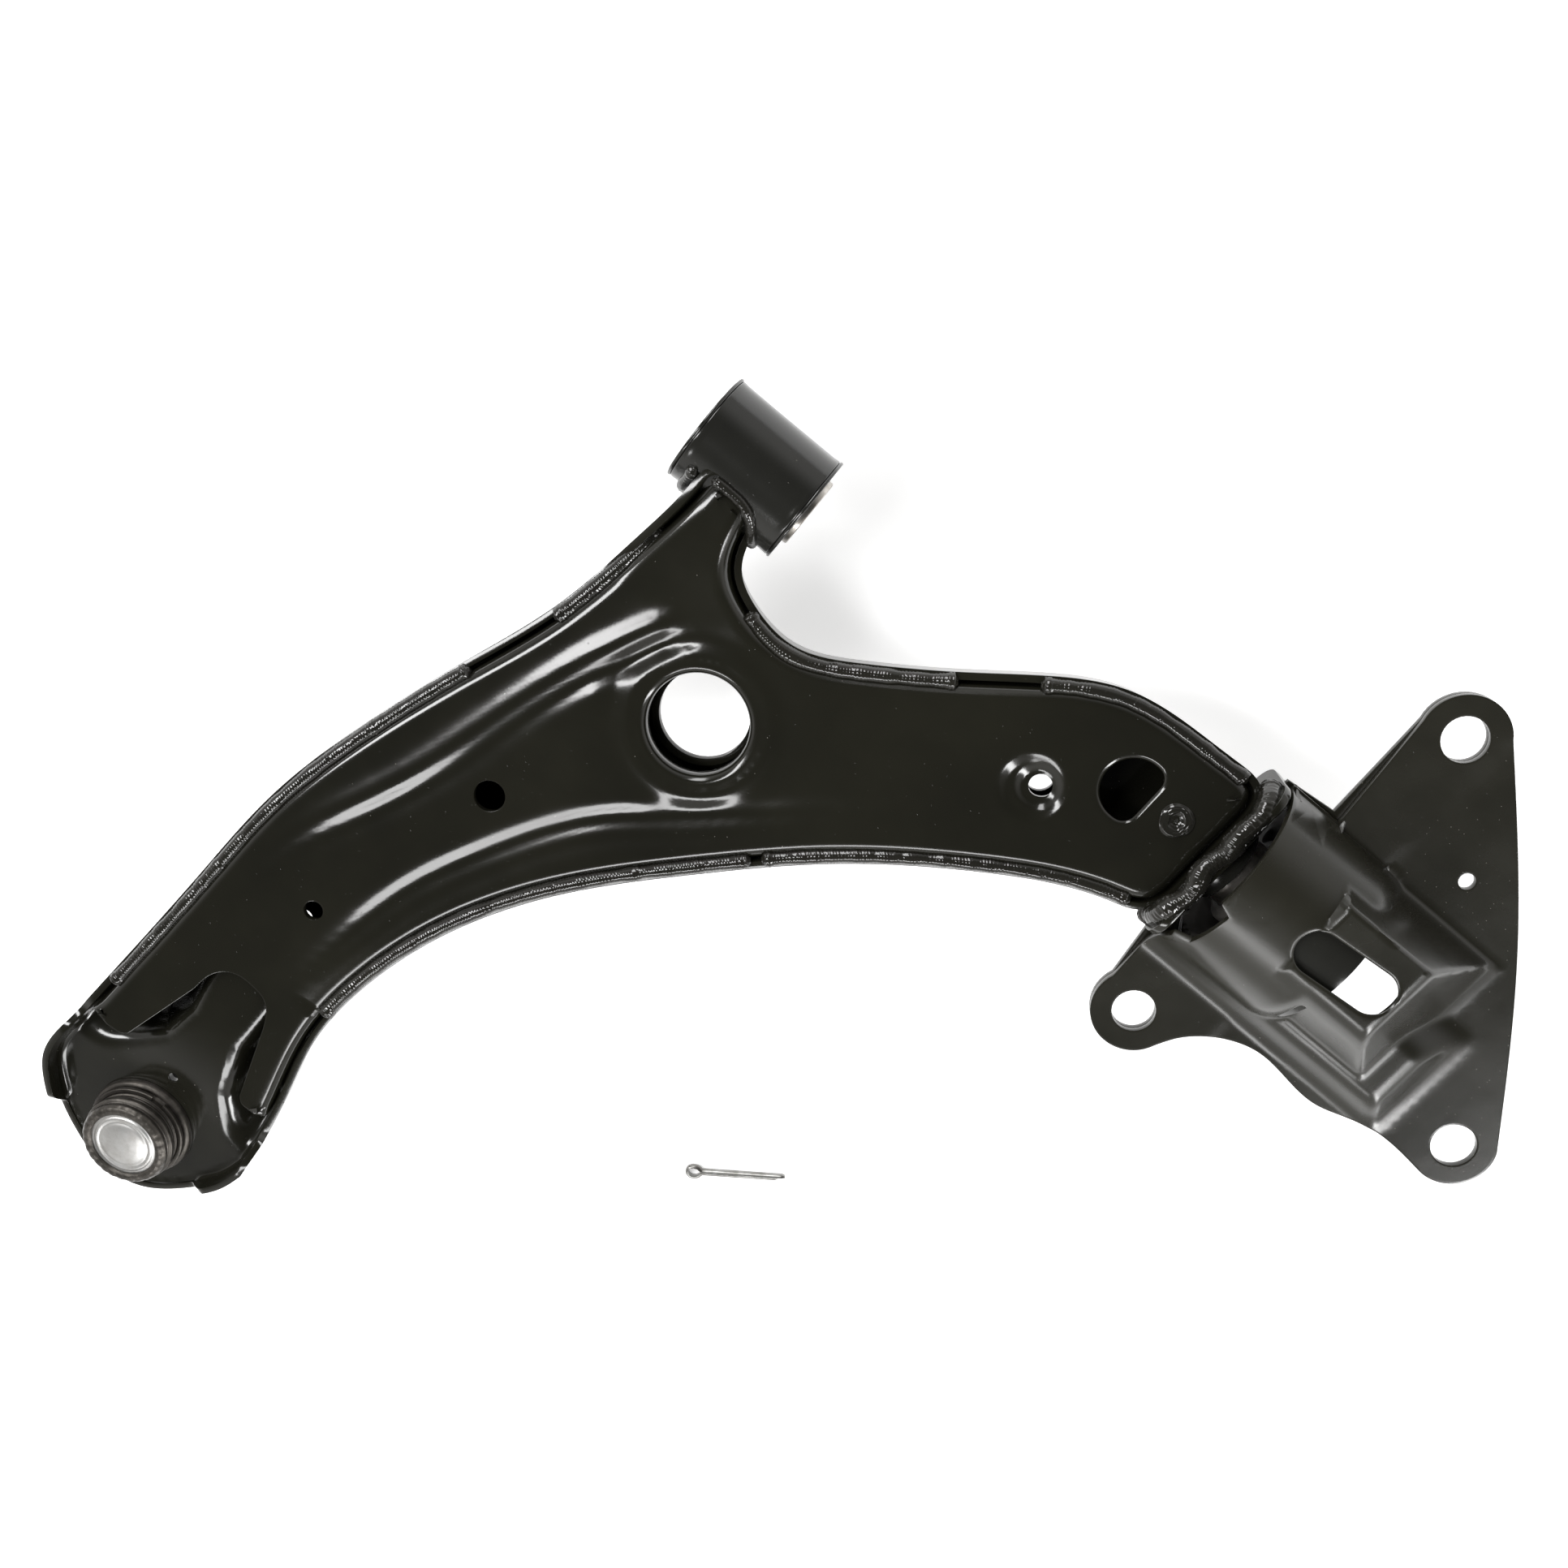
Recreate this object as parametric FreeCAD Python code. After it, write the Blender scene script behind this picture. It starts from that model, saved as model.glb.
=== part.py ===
import FreeCAD, Part
import math
import os

# Lower control arm of a small car: two pressed shells welded into an L-shaped box, a front
# bush in a welded eye, a rear bush clamped in a bolt-on bracket, and a ball joint.
# Frame: origin at the centre of the front bush bore, +X along the pivot axis to the rear
# bush, +Z towards the cover side, the ball joint lies towards -Y. Millimetres throughout.

V = FreeCAD.Vector
X_AXIS = V(1, 0, 0)
Z_AXIS = V(0, 0, 1)

# ---- driving dimensions -------------------------------------------------------------------
SPAN = 220.0             # front bush centre to rear bush centre, along the pivot axis
REACH = 356.0            # pivot axis to ball centre, along Y
BALL_AHEAD = 28.0        # ball centre ahead of the front bush, along X
BALL_LEAN = 8.0          # degrees that the stud axis leans outwards
SHEET = 2.6              # thickness of every pressed sheet
RUN = 0.05               # radial running clearance between parts that turn

# pressed shells
WALL_TOP = 9.0           # top edge of the lower shell's wall
SHELL_FLOOR = -12.5      # underside of the lower shell
WALL_DRAFT = 3.0         # how far the wall leans in from its top edge to the floor
COVER_TOP = 12.0         # outer face of the cover
COVER_SKIRT = 7.0        # depth of the cover's turned-down edge
NEST_GAP = 1.2           # gap between the cover's edge and the wall, filled by the weld
WELD_RISE = 1.8          # height of a seam weld above the wall's edge
LIGHTENING_R = 18.2      # big flanged hole in the cover
LIGHTENING_FLOOR_R = 16.6
LIGHTENING_X = 40.0
LIGHTENING_Y = -80.0
LIGHTENING_LIP = 7.0     # depth of the flange turned down round the big hole

DATUM_HOLE_R = 4.2       # locating hole in the cover, with a wider one below it
DATUM_FLOOR_R = 5.5
DATUM_SHARE = 0.708      # share of the way from the front bush to the end plate
DATUM_Y = -20.5
PLUG_R = 6.5             # plug weld that ties the shells near the rear
PLUG_SHARE = 0.907
PLUG_Y = 1.6
DRAIN_R = 3.7            # paint drain through both shells
DRAIN_SHARE = 0.641      # share of the way from the front bush to the ball
DRAIN_OFFSET = -7.5
DRAIN_FLOOR_SHARE = 0.69
DRAIN_FLOOR_OFFSET = -9.2
WIDE_HOLE_R = 5.8        # clearance hole in the cover
WIDE_HOLE_SHARE = 0.4185
WIDE_HOLE_OFFSET = 10.7
WINDOW_SHARE = 0.763     # middle of the window's round end
WINDOW_LENGTH = 18.0
WINDOW_HALF = 11.5
WINDOW_CORNER_R = 5.0
PAD_EDGE = 32.0          # pad's inner edge, from the ball centre
PAD_SIZE = 140.0         # slab large enough to cover the whole ball end
LIP_RISE = 8.0           # upturned lips above the pad
TIP_GAP_HALF = 30.0      # half width of the gap between the lips at the tip
TIP_GAP_BACK = 8.0       # how far behind the ball centre the lips reach
PEEP_R = 2.0
PEEP_X = -2.0            # small hole in the pad, from the ball centre
PEEP_Y = 29.0

# front eye and its bush
EYE_R = 19.8
EYE_WALL = 2.6
EYE_LENGTH = 42.0
BUSH_FLANGE_R = 20.4
FRONT_FLANGE = 1.2       # thickness of the bush's end flanges
FRONT_SLEEVE_WALL = 1.2
FRONT_INNER_R = 12.9
FRONT_BORE_R = 6.1
FRONT_INNER_START = -22.4
FRONT_INNER_END = 24.0

# rear bush, pivot pin and end plate
END_PLATE = 3.5
END_PLATE_HALF = 34.5    # half width across the pivot axis
END_PLATE_RISE = 18.5    # half height
PLATE_TO_BUSH = 13.5     # end plate's shell face ahead of the rear bush centre
PIN_R = 8.0
PIN_COLLAR_R = 15.0
PIN_COLLAR = 5.0
REAR_INNER_R = 13.0
REAR_INNER_LENGTH = 50.0
REAR_SLEEVE_R = 32.0
REAR_SLEEVE_WALL = 2.5
REAR_SLEEVE_LENGTH = 40.0
REAR_SLEEVE_START = 1.0  # sleeve's front end behind the rear bush centre
RUBBER_LIP = 1.6
COLLAR_SETBACK = 4.5     # bracket's collar starts behind the sleeve's front end
VOID_INNER_R = 17.5
VOID_OUTER_R = 25.5
VOID_HALF_ANGLE = 52.0

# bracket
LOBE_R = 15.6
BRACKET_HOLE_R = 8.2
EAR_HOLE_R = 7.9
DRAIN_HOLE_R = 3.0
UPPER_LOBE = V(22.8, 84.0, 0)      # bolt lobes, from the rear bush centre
OUTER_LOBE = V(127.9, -25.5, 0)
EAR_LOBE = V(7.2, -62.2, 0)
DRAIN_HOLE = V(59.4, 48.7, 0)
HOOD_TOP = 34.6
SLOT_R = 8.0
SLOT_START = V(27.0, 1.0, 0)
SLOT_END = V(50.0, 3.0, 0)

# ball joint, in its own upright frame with the ball centre at the origin
BALL_HEIGHT = 1.0        # ball centre above the pivot axis plane
BALL_R = 12.0
PAD_TOP = -1.0           # pad face below the ball centre
PRESS_R = 18.6           # press fit of the housing in the pad
HOUSING_FLANGE_R = 21.0
HOUSING_FLANGE = 3.0
HOUSING_RIM_R = 17.6
HOUSING_RIM = 14.5       # top of the rolled rim above the ball centre
HOUSING_MOUTH_R = 13.4
HOUSING_FOOT = -14.0
HOUSING_FOOT_R = 15.6
SEAT_R = 15.0
SNAP_RING_R = 19.6
SNAP_RING = 1.8
STUD_NECK_R = 7.2
STUD_TAPER_R = 7.7
STUD_TAPER_TOP = -24.0
STUD_TAPER_END_R = 6.6
STUD_TAPER_END = -40.0
STUD_THREAD_R = 6.0
STUD_TIP = -57.0
COTTER_HOLE_R = 1.7
NUT_AF = 19.0            # across flats
NUT_TOP = -41.0
NUT_LENGTH = 12.0
NUT_SLOT = 3.4
NUT_CROWN = 4.5
BOOT_BOTTOM = -25.5
BOOT_WALL = 1.6
BOOT_BULGE_R = 20.5
BOOT_CUFF = 2.2          # straight cuffs at both ends of the boot, under the clips
BOOT_RIM_R = 17.2
BOOT_NECK_R = 10.4
CLIP_GAP = 0.1

# cotter pin, loose beside the arm on the level of the stud's tip
COTTER_WIRE_R = 1.48
COTTER_LONG_LEG = 36.5
COTTER_SHORT_LEG = 33.5
COTTER_EYE_R = 2.7
COTTER_EYE_WIRE_R = 0.9
COTTER_X = 161.0
COTTER_Y = -253.0
COTTER_TURN = 38.0       # degrees from +X

# ---- places worked out from the dimensions ---------------------------------------------------
BALL = V(-BALL_AHEAD, -REACH, BALL_HEIGHT)
PLATE_X = SPAN - PLATE_TO_BUSH
REAR = V(SPAN, 0, 0)
SLEEVE_X = SPAN + REAR_SLEEVE_START
COLLAR_X = SLEEVE_X + COLLAR_SETBACK
PIN_X = PLATE_X + END_PLATE
INNER_X = PIN_X + PIN_COLLAR
COLLAR_R = REAR_SLEEVE_R + SHEET
COVER_EDGE = SHEET + NEST_GAP


# ---- helpers -----------------------------------------------------------------------------------
def leg(share, offset):
    """A point beside the line from the front bush to the ball, at a share of its length."""
    return V(BALL.x * share + offset, BALL.y * share, 0)


def beam(share, y):
    """A point beside the pivot axis, at a share of the way to the end plate."""
    return V(PLATE_X * share, y, 0)


def near_ball(x, y):
    return V(BALL.x + x, BALL.y + y, 0)


def spline(points):
    curve = Part.BSplineCurve()
    curve.interpolate(points)
    return curve.toShape()


def line(start, end):
    return Part.LineSegment(start, end).toShape()


def arc(start, middle, end):
    return Part.Arc(start, middle, end).toShape()


def face_of(edges):
    return Part.Face(Part.Wire(edges))


def polygon(points):
    return Part.Face(Part.makePolygon(points + [points[0]]))


def prism(face, low, high):
    return face.translated(V(0, 0, low)).extrude(V(0, 0, high - low))


def rod(radius, start_x, length):
    """A cylinder on the pivot axis."""
    return Part.makeCylinder(radius, length, V(start_x, 0, 0), X_AXIS)


def tube(outer, inner, start_x, length):
    return rod(outer, start_x, length).cut(rod(inner, start_x, length))


def post(radius, x, y, low, high):
    """A cylinder parallel to Z."""
    return Part.makeCylinder(radius, high - low, V(x, y, low))


def turned(profile):
    """A solid turned about Z from (radius, height) corners."""
    points = [V(r, 0, z) for r, z in profile]
    return polygon(points).revolve(V(0, 0, 0), Z_AXIS, 360)


def leaned(shape):
    """Moves a shape from the ball joint's upright frame to its leaning place on the arm."""
    placed = shape.copy()
    placed.rotate(V(0, 0, 0), X_AXIS, BALL_LEAN)
    placed.translate(BALL)
    return placed


def box(low, high):
    return Part.makeBox(high[0] - low[0], high[1] - low[1], high[2] - low[2], V(*low))


def save(name, shape):
    shape.exportStep("parts/%s.step" % name)


# ---- holes in the shells ---------------------------------------------------------------------
DATUM_AT = beam(DATUM_SHARE, DATUM_Y)
PLUG_AT = beam(PLUG_SHARE, PLUG_Y)
DRAIN_AT = leg(DRAIN_SHARE, DRAIN_OFFSET)
DRAIN_FLOOR_AT = leg(DRAIN_FLOOR_SHARE, DRAIN_FLOOR_OFFSET)
WIDE_HOLE_AT = leg(WIDE_HOLE_SHARE, WIDE_HOLE_OFFSET)
LIGHT_AT = V(LIGHTENING_X, LIGHTENING_Y, 0)


def bored(radius, at):
    """A tall drill through both shells at a point."""
    return post(radius, at.x, at.y, -60, 60)


# ---- outline of the arm ------------------------------------------------------------------------
def arm_corners():
    """The four edges of the arm as runs of points, clockwise from the front eye."""
    eye_half = EYE_LENGTH / 2
    leading = [V(-eye_half + 7, -10, 0), leg(0.11, -12.5), leg(0.22, -17.5), leg(0.33, -28.5),
               leg(0.445, -39.5), leg(0.57, -47), leg(0.69, -47.5), leg(0.81, -47.5),
               leg(0.93, -48)]
    tip = [leg(0.93, -48), near_ball(-46, 4), near_ball(-40, -6), near_ball(-31, -15.5),
           near_ball(-20, -23), near_ball(-9, -29.5), near_ball(3, -31.5),
           near_ball(14, -28), near_ball(24, -19), near_ball(33, -7.5),
           near_ball(40, 4), near_ball(43, 15)]
    trailing = [near_ball(43, 15), leg(0.87, 36), leg(0.772, 26.5), leg(0.674, 26),
                leg(0.565, 35), leg(0.458, 54), beam(0.35, -126), beam(0.53, -88),
                beam(0.732, -56), beam(0.9, -37), beam(1, -31)]
    inner = [beam(1, 31), beam(0.865, 29.5), beam(0.703, 25), beam(0.572, 9),
             beam(0.466, -8), beam(0.335, -27), V(eye_half + 27, -37, 0),
             V(eye_half + 9, -35, 0), V(eye_half - 3, -28, 0), V(eye_half - 8, -10, 0)]
    return [leading, tip, trailing, inner]


def inset_corners(distance):
    """The outline's runs moved inwards by a distance, mitred at every point."""
    runs = arm_corners()
    loop = []
    for run in runs:
        loop += [p for p in run if not loop or p.distanceToPoint(loop[-1]) > 0.01]
    moved = []
    for i, point in enumerate(loop):
        before = (point - loop[i - 1]).normalize()
        after = (loop[(i + 1) % len(loop)] - point).normalize()
        side = V(-before.y, before.x, 0)
        middle = (side + V(-after.y, after.x, 0)).normalize()
        moved.append(point + middle * (distance / middle.dot(side)))
    result = []
    for run in runs:
        result.append([moved[nearest(loop, p)] for p in run])
    return result


def nearest(loop, point):
    return min(range(len(loop)), key=lambda i: loop[i].distanceToPoint(point))


def arm_face(distance):
    """The arm's outline, moved inwards by a distance, as a flat face."""
    leading, tip, trailing, inner = inset_corners(distance)
    edges = [spline(leading), spline(tip), spline(trailing)]
    edges.append(line(trailing[-1], inner[0]))
    edges.append(spline(inner))
    edges.append(line(inner[-1], leading[0]))
    return face_of(edges)


def arm_prism(distance, low, high):
    return prism(arm_face(distance), low, high)


def tapered_pan(distance, low, high):
    """The arm's outline at the wall's top edge, drawn in by the wall's draft at the floor."""
    depth = WALL_TOP - SHELL_FLOOR
    wires = []
    for z in (low, high):
        drawn = distance + WALL_DRAFT * (WALL_TOP - z) / depth
        wires.append(arm_face(drawn).OuterWire.translated(V(0, 0, z)))
    return Part.makeLoft(wires, True, True)


def eye_space():
    """The room that the front eye takes from the shells."""
    return rod(EYE_R, -EYE_LENGTH, 2 * EYE_LENGTH)


# ---- shells and their welds --------------------------------------------------------------------
def pad_slab(low, high):
    """A slab square to the stud, covering the ball end of the arm."""
    corner = V(-PAD_SIZE / 2, PAD_EDGE + SHEET - PAD_SIZE, low)
    return leaned(Part.makeBox(PAD_SIZE, PAD_SIZE, high - low, corner))


def lower_shell():
    end = near_ball(0, PAD_EDGE).y
    pan = tapered_pan(0, SHELL_FLOOR, WALL_TOP)
    pan = pan.cut(tapered_pan(SHEET, SHELL_FLOOR + SHEET, WALL_TOP))
    far = (-300, -REACH - 100, -100)
    pan = pan.cut(box(far, (300, end, PAD_TOP - SHEET)))
    pan = pan.cut(box((BALL.x - TIP_GAP_HALF, BALL.y - PAD_SIZE, -50),
                      (BALL.x + TIP_GAP_HALF, BALL.y - TIP_GAP_BACK, 50)))
    pad = pad_slab(PAD_TOP - SHEET, PAD_TOP).common(tapered_pan(0, SHELL_FLOOR, WALL_TOP))
    riser = box((-300, end, SHELL_FLOOR), (300, end + SHEET, PAD_TOP + PAD_EDGE / 8))
    riser = riser.common(tapered_pan(0, SHELL_FLOOR, WALL_TOP))
    shell = pan.fuse([pad, riser]).removeSplitter()
    bore = leaned(post(PRESS_R, 0, 0, -40, 40))
    peep = leaned(post(PEEP_R, PEEP_X, PEEP_Y, -40, 40))
    holes = [bored(LIGHTENING_FLOOR_R, LIGHT_AT), bored(DATUM_FLOOR_R, DATUM_AT),
             bored(DRAIN_R, DRAIN_FLOOR_AT)]
    below = pad_slab(-60, PAD_TOP - SHEET).common(box(far, (300, end - 0.01, 60)))
    above = pad_slab(PAD_TOP + LIP_RISE, 60).common(box(far, (300, end - 0.01, 60)))
    return shell.cut([bore, peep, below, above, eye_space()] + holes)


def cover_cutout():
    """The mouth of the cover round the ball joint pad."""
    mouth = [near_ball(-70, 35), near_ball(-24, 36), near_ball(-14.5, 72)]
    crown = spline([near_ball(-14.5, 72), near_ball(-12.5, 81), near_ball(-6.5, 86.5),
                    near_ball(8, 85), near_ball(13.3, 79), near_ball(16, 71)])
    rest = [near_ball(16, 71), near_ball(24.5, 43), near_ball(70, 43), near_ball(70, -70),
            near_ball(-70, -70), near_ball(-70, 35)]
    edges = [line(mouth[0], mouth[1]), line(mouth[1], mouth[2]), crown]
    edges += [line(a, b) for a, b in zip(rest, rest[1:])]
    return prism(face_of(edges), -60, 60)


def window():
    """The round-ended window near the rear of the cover."""
    left = beam(WINDOW_SHARE, 0).x
    half = WINDOW_HALF
    slab = box((left, -half, -2), (left + WINDOW_LENGTH, half, 60))
    upright = [e for e in slab.Edges if abs(e.tangentAt(e.FirstParameter).z) > 0.9]
    square_end = [e for e in upright if e.CenterOfMass.x > left + 1]
    return slab.makeFillet(WINDOW_CORNER_R, square_end).fuse(post(half, left + half / 2, 0, -2, 60))


def upper_shell():
    low = COVER_TOP - COVER_SKIRT
    cover = arm_prism(COVER_EDGE, low, COVER_TOP)
    cover = cover.cut(arm_prism(COVER_EDGE + SHEET, low - 1, COVER_TOP - SHEET))
    lip = post(LIGHTENING_R + SHEET, LIGHT_AT.x, LIGHT_AT.y,
               COVER_TOP - LIGHTENING_LIP, COVER_TOP)
    cover = cover.fuse(lip).removeSplitter()
    holes = [bored(LIGHTENING_R, LIGHT_AT), bored(DATUM_HOLE_R, DATUM_AT),
             bored(PLUG_R, PLUG_AT), bored(WIDE_HOLE_R, WIDE_HOLE_AT), bored(DRAIN_R, DRAIN_AT)]
    return cover.cut(holes + [window(), cover_cutout(), eye_space()])


def weld_strip():
    """A closed strip of weld in the gap between the wall and the cover's edge."""
    bottom = WALL_TOP - 3.0
    top = WALL_TOP + WELD_RISE
    return arm_prism(SHEET, bottom, top).cut(arm_prism(COVER_EDGE, bottom, top))


def seam_welds(shells):
    strip = weld_strip().cut([eye_space()] + shells)
    ball_end = near_ball(0, 52).y
    gap_start = leg(0.33, 0).y
    gap_end = leg(0.23, 0).y
    runs = [box((-200, ball_end, -9), (-20, gap_start, 30)),
            box((-200, gap_end, -9), (0, -36, 30)),
            box((-12, near_ball(0, 90).y, -9), (beam(0.40, 0).x, beam(0, -100).y, 30)),
            box((beam(0.42, 0).x, -115, -9), (PLATE_X, -25, 30)),
            box((EYE_LENGTH / 2 + 4, -45, -9), (beam(0.48, 0).x, 0, 30)),
            box((beam(0.58, 0).x, 0, -9), (PLATE_X, 45, 30))]
    beads = []
    for run in runs:
        beads += [s for s in strip.common(run).Solids if s.Volume > 20]
    return Part.makeCompound(beads)


def plug_weld():
    low = COVER_TOP - SHEET - 1
    button = post(PLUG_R, PLUG_AT.x, PLUG_AT.y, low, COVER_TOP + 0.6)
    return button.cut(post(PLUG_R / 2, PLUG_AT.x, PLUG_AT.y, COVER_TOP - 0.8, COVER_TOP + 2))


# ---- front eye and bush ------------------------------------------------------------------------
def front_bush_eye():
    return tube(EYE_R, EYE_R - EYE_WALL, -EYE_LENGTH / 2, EYE_LENGTH)


def eye_weld(shells):
    """Fillet weld along the mouth of the shells, on the eye's outer wall."""
    bead_r = 2.6
    left = V(-EYE_LENGTH / 2 + 6, 0, 0)
    beads = []
    for height in (COVER_TOP - 1, SHELL_FLOOR + 2):
        y = -math.sqrt(EYE_R ** 2 - height ** 2)
        start = V(left.x, y, height)
        bead = Part.makeCylinder(bead_r, EYE_LENGTH - 14, start, X_AXIS)
        beads.append(bead.cut([eye_space()] + shells))
    solids = []
    for bead in beads:
        solids += bead.Solids
    return Part.makeCompound([s for s in solids if s.Volume > 20])


def front_outer_sleeve():
    outer = EYE_R - EYE_WALL
    sleeve = tube(outer, outer - FRONT_SLEEVE_WALL, -EYE_LENGTH / 2 - FRONT_FLANGE,
                  EYE_LENGTH + 2 * FRONT_FLANGE)
    ends = []
    for start in (-EYE_LENGTH / 2 - FRONT_FLANGE, EYE_LENGTH / 2):
        ends.append(tube(BUSH_FLANGE_R, outer - FRONT_SLEEVE_WALL, start, FRONT_FLANGE))
    return sleeve.fuse(ends).removeSplitter()


def front_rubber():
    outer = EYE_R - EYE_WALL - FRONT_SLEEVE_WALL
    length = EYE_LENGTH + 2 * FRONT_FLANGE
    return tube(outer, FRONT_INNER_R + RUN, -length / 2, length)


def front_inner_sleeve():
    length = FRONT_INNER_END - FRONT_INNER_START
    return tube(FRONT_INNER_R, FRONT_BORE_R, FRONT_INNER_START, length)


# ---- end plate, pivot pin and rear bush --------------------------------------------------------
def end_plate():
    plate = box((PLATE_X, -END_PLATE_HALF, -END_PLATE_RISE),
                (PLATE_X + END_PLATE, END_PLATE_HALF, END_PLATE_RISE))
    corners = [e for e in plate.Edges if abs(e.tangentAt(e.FirstParameter).x) > 0.9]
    return plate.makeFillet(END_PLATE_RISE / 2, corners)


def end_plate_weld(neighbours):
    """Fillet beads between the plate's shell face and the outside of the shells."""
    bead_r = 2.4
    reach = END_PLATE_HALF - 10
    beads = []
    for height in (COVER_TOP + bead_r / 2, SHELL_FLOOR - bead_r / 2):
        bead = Part.makeCylinder(bead_r, 2 * reach, V(PLATE_X - 1, -reach, height), V(0, 1, 0))
        bead = bead.cut(neighbours)
        beads += [s for s in bead.Solids if s.Volume > 20]
    return Part.makeCompound(beads)


def pivot_pin():
    length = PIN_COLLAR + REAR_INNER_LENGTH + 1.5
    pin = rod(PIN_R, PIN_X, length)
    pin = pin.fuse(rod(PIN_COLLAR_R, PIN_X, PIN_COLLAR)).removeSplitter()
    tip = [e for e in pin.Edges if e.CenterOfMass.x > PIN_X + length - 0.1]
    return pin.makeChamfer(1.2, tip)


def rear_inner_sleeve():
    return tube(REAR_INNER_R, PIN_R, INNER_X, REAR_INNER_LENGTH)


def rear_outer_sleeve():
    return tube(REAR_SLEEVE_R, REAR_SLEEVE_R - REAR_SLEEVE_WALL, SLEEVE_X,
                REAR_SLEEVE_LENGTH)


def kidney(middle):
    """A curved slot through the rear rubber, centred on an angle round the pivot axis."""
    ring = tube(VOID_OUTER_R, VOID_INNER_R, SLEEVE_X - 5, REAR_SLEEVE_LENGTH + 10)
    far = 2 * REAR_SLEEVE_R
    corners = [V(0, 0, 0)]
    for step in (-1.0, -0.5, 0.0, 0.5, 1.0):
        angle = math.radians(middle + step * VOID_HALF_ANGLE)
        corners.append(V(0, far * math.cos(angle), far * math.sin(angle)))
    wedge = polygon(corners).translated(V(SLEEVE_X - 5, 0, 0))
    return ring.common(wedge.extrude(V(REAR_SLEEVE_LENGTH + 10, 0, 0)))


def rear_rubber():
    outer = REAR_SLEEVE_R - REAR_SLEEVE_WALL
    body = tube(outer, REAR_INNER_R + RUN, SLEEVE_X + 2, REAR_SLEEVE_LENGTH - 4)
    rim = tube(outer, VOID_OUTER_R, SLEEVE_X - RUBBER_LIP, RUBBER_LIP + 3)
    return body.fuse(rim).removeSplitter().cut([kidney(0), kidney(180)])


# ---- bracket -----------------------------------------------------------------------------------
def on_lobe(centre, degrees):
    angle = math.radians(degrees)
    return REAR + centre + V(LOBE_R * math.cos(angle), LOBE_R * math.sin(angle), 0)


def bracket_outline():
    """Outline of the upper bracket: three bolt lobes joined by waisted edges."""
    neck = COLLAR_R - 1
    front = V(COLLAR_X, 0, 0)
    edges = [line(on_lobe(UPPER_LOBE, 195), REAR + V(12, neck, 0))]
    edges.append(line(REAR + V(12, neck, 0), front + V(0, neck, 0)))
    edges.append(line(front + V(0, neck, 0), front + V(0, -neck, 0)))
    edges.append(line(front + V(0, -neck, 0), on_lobe(EAR_LOBE, 160)))
    edges.append(arc(on_lobe(EAR_LOBE, 160), on_lobe(EAR_LOBE, 250), on_lobe(EAR_LOBE, 340)))
    edges.append(spline([on_lobe(EAR_LOBE, 340), REAR + V(26, -60, 0), REAR + V(38, -49.5, 0),
                         REAR + V(51, -45, 0), REAR + V(80, -46.5, 0), REAR + V(98, -41, 0),
                         on_lobe(OUTER_LOBE, 262)]))
    edges.append(arc(on_lobe(OUTER_LOBE, 262), on_lobe(OUTER_LOBE, 320),
                     on_lobe(OUTER_LOBE, 30)))
    middle = (on_lobe(OUTER_LOBE, 30) + on_lobe(UPPER_LOBE, 40)) * 0.5 + V(3, 3, 0)
    edges.append(arc(on_lobe(OUTER_LOBE, 30), middle, on_lobe(UPPER_LOBE, 40)))
    edges.append(arc(on_lobe(UPPER_LOBE, 40), on_lobe(UPPER_LOBE, 115),
                     on_lobe(UPPER_LOBE, 195)))
    return face_of(edges)


def frustum(low, high, base, top):
    """A tapered block between two (x0, y0, x1, y1) rectangles at two heights."""
    wires = []
    for (x0, y0, x1, y1), z in ((base, low), (top, high)):
        corners = [V(x0, y0, z), V(x1, y0, z), V(x1, y1, z), V(x0, y1, z), V(x0, y0, z)]
        wires.append(Part.makePolygon([REAR + c for c in corners]))
    return Part.makeLoft(wires, True, True)


def hood(inward):
    """The pressed hood over and behind the rear bush; inward shrinks it by the sheet."""
    top = HOOD_TOP - inward
    low = -2.0 * inward / SHEET
    i = inward
    main = frustum(low, top, (18, -33 + i, 88 - i, 31 - i), (20, -15 + i, 60 - i, 21 - i))
    step_top = 13.0 - inward
    step = frustum(low, step_top, (30, -42 + i, 106 - i, 5), (32, -35 + i, 96 - i, 0))
    return main.fuse(step)


def bolt_hole(centre, radius):
    return post(radius, SPAN + centre.x, centre.y, -50, 50)


def slot():
    start = REAR + SLOT_START
    end = REAR + SLOT_END
    across = (end - start).normalize().cross(Z_AXIS) * SLOT_R
    web = polygon([start + across, end + across, end - across, start - across])
    ends = [post(SLOT_R, p.x, p.y, HOOD_TOP / 2, 60) for p in (start, end)]
    return prism(web, HOOD_TOP / 2, 60).fuse(ends)


def bracket_upper():
    plate = prism(bracket_outline(), 0, SHEET)
    collar = rod(COLLAR_R, COLLAR_X, REAR_SLEEVE_LENGTH - COLLAR_SETBACK)
    collar = collar.common(box((0, -60, 0), (2 * SPAN, 60, 60)))
    body = plate.fuse([collar, hood(0)]).removeSplitter()
    inside = hood(SHEET).cut(box((0, -60, -60), (COLLAR_X + 15, 60, 60)))
    seat = rod(REAR_SLEEVE_R, SLEEVE_X - 20, REAR_SLEEVE_LENGTH + 20)
    holes = [bolt_hole(UPPER_LOBE, BRACKET_HOLE_R), bolt_hole(OUTER_LOBE, BRACKET_HOLE_R),
             bolt_hole(EAR_LOBE, EAR_HOLE_R), bolt_hole(DRAIN_HOLE, DRAIN_HOLE_R)]
    return body.cut([inside, seat, slot()] + holes)


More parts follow.
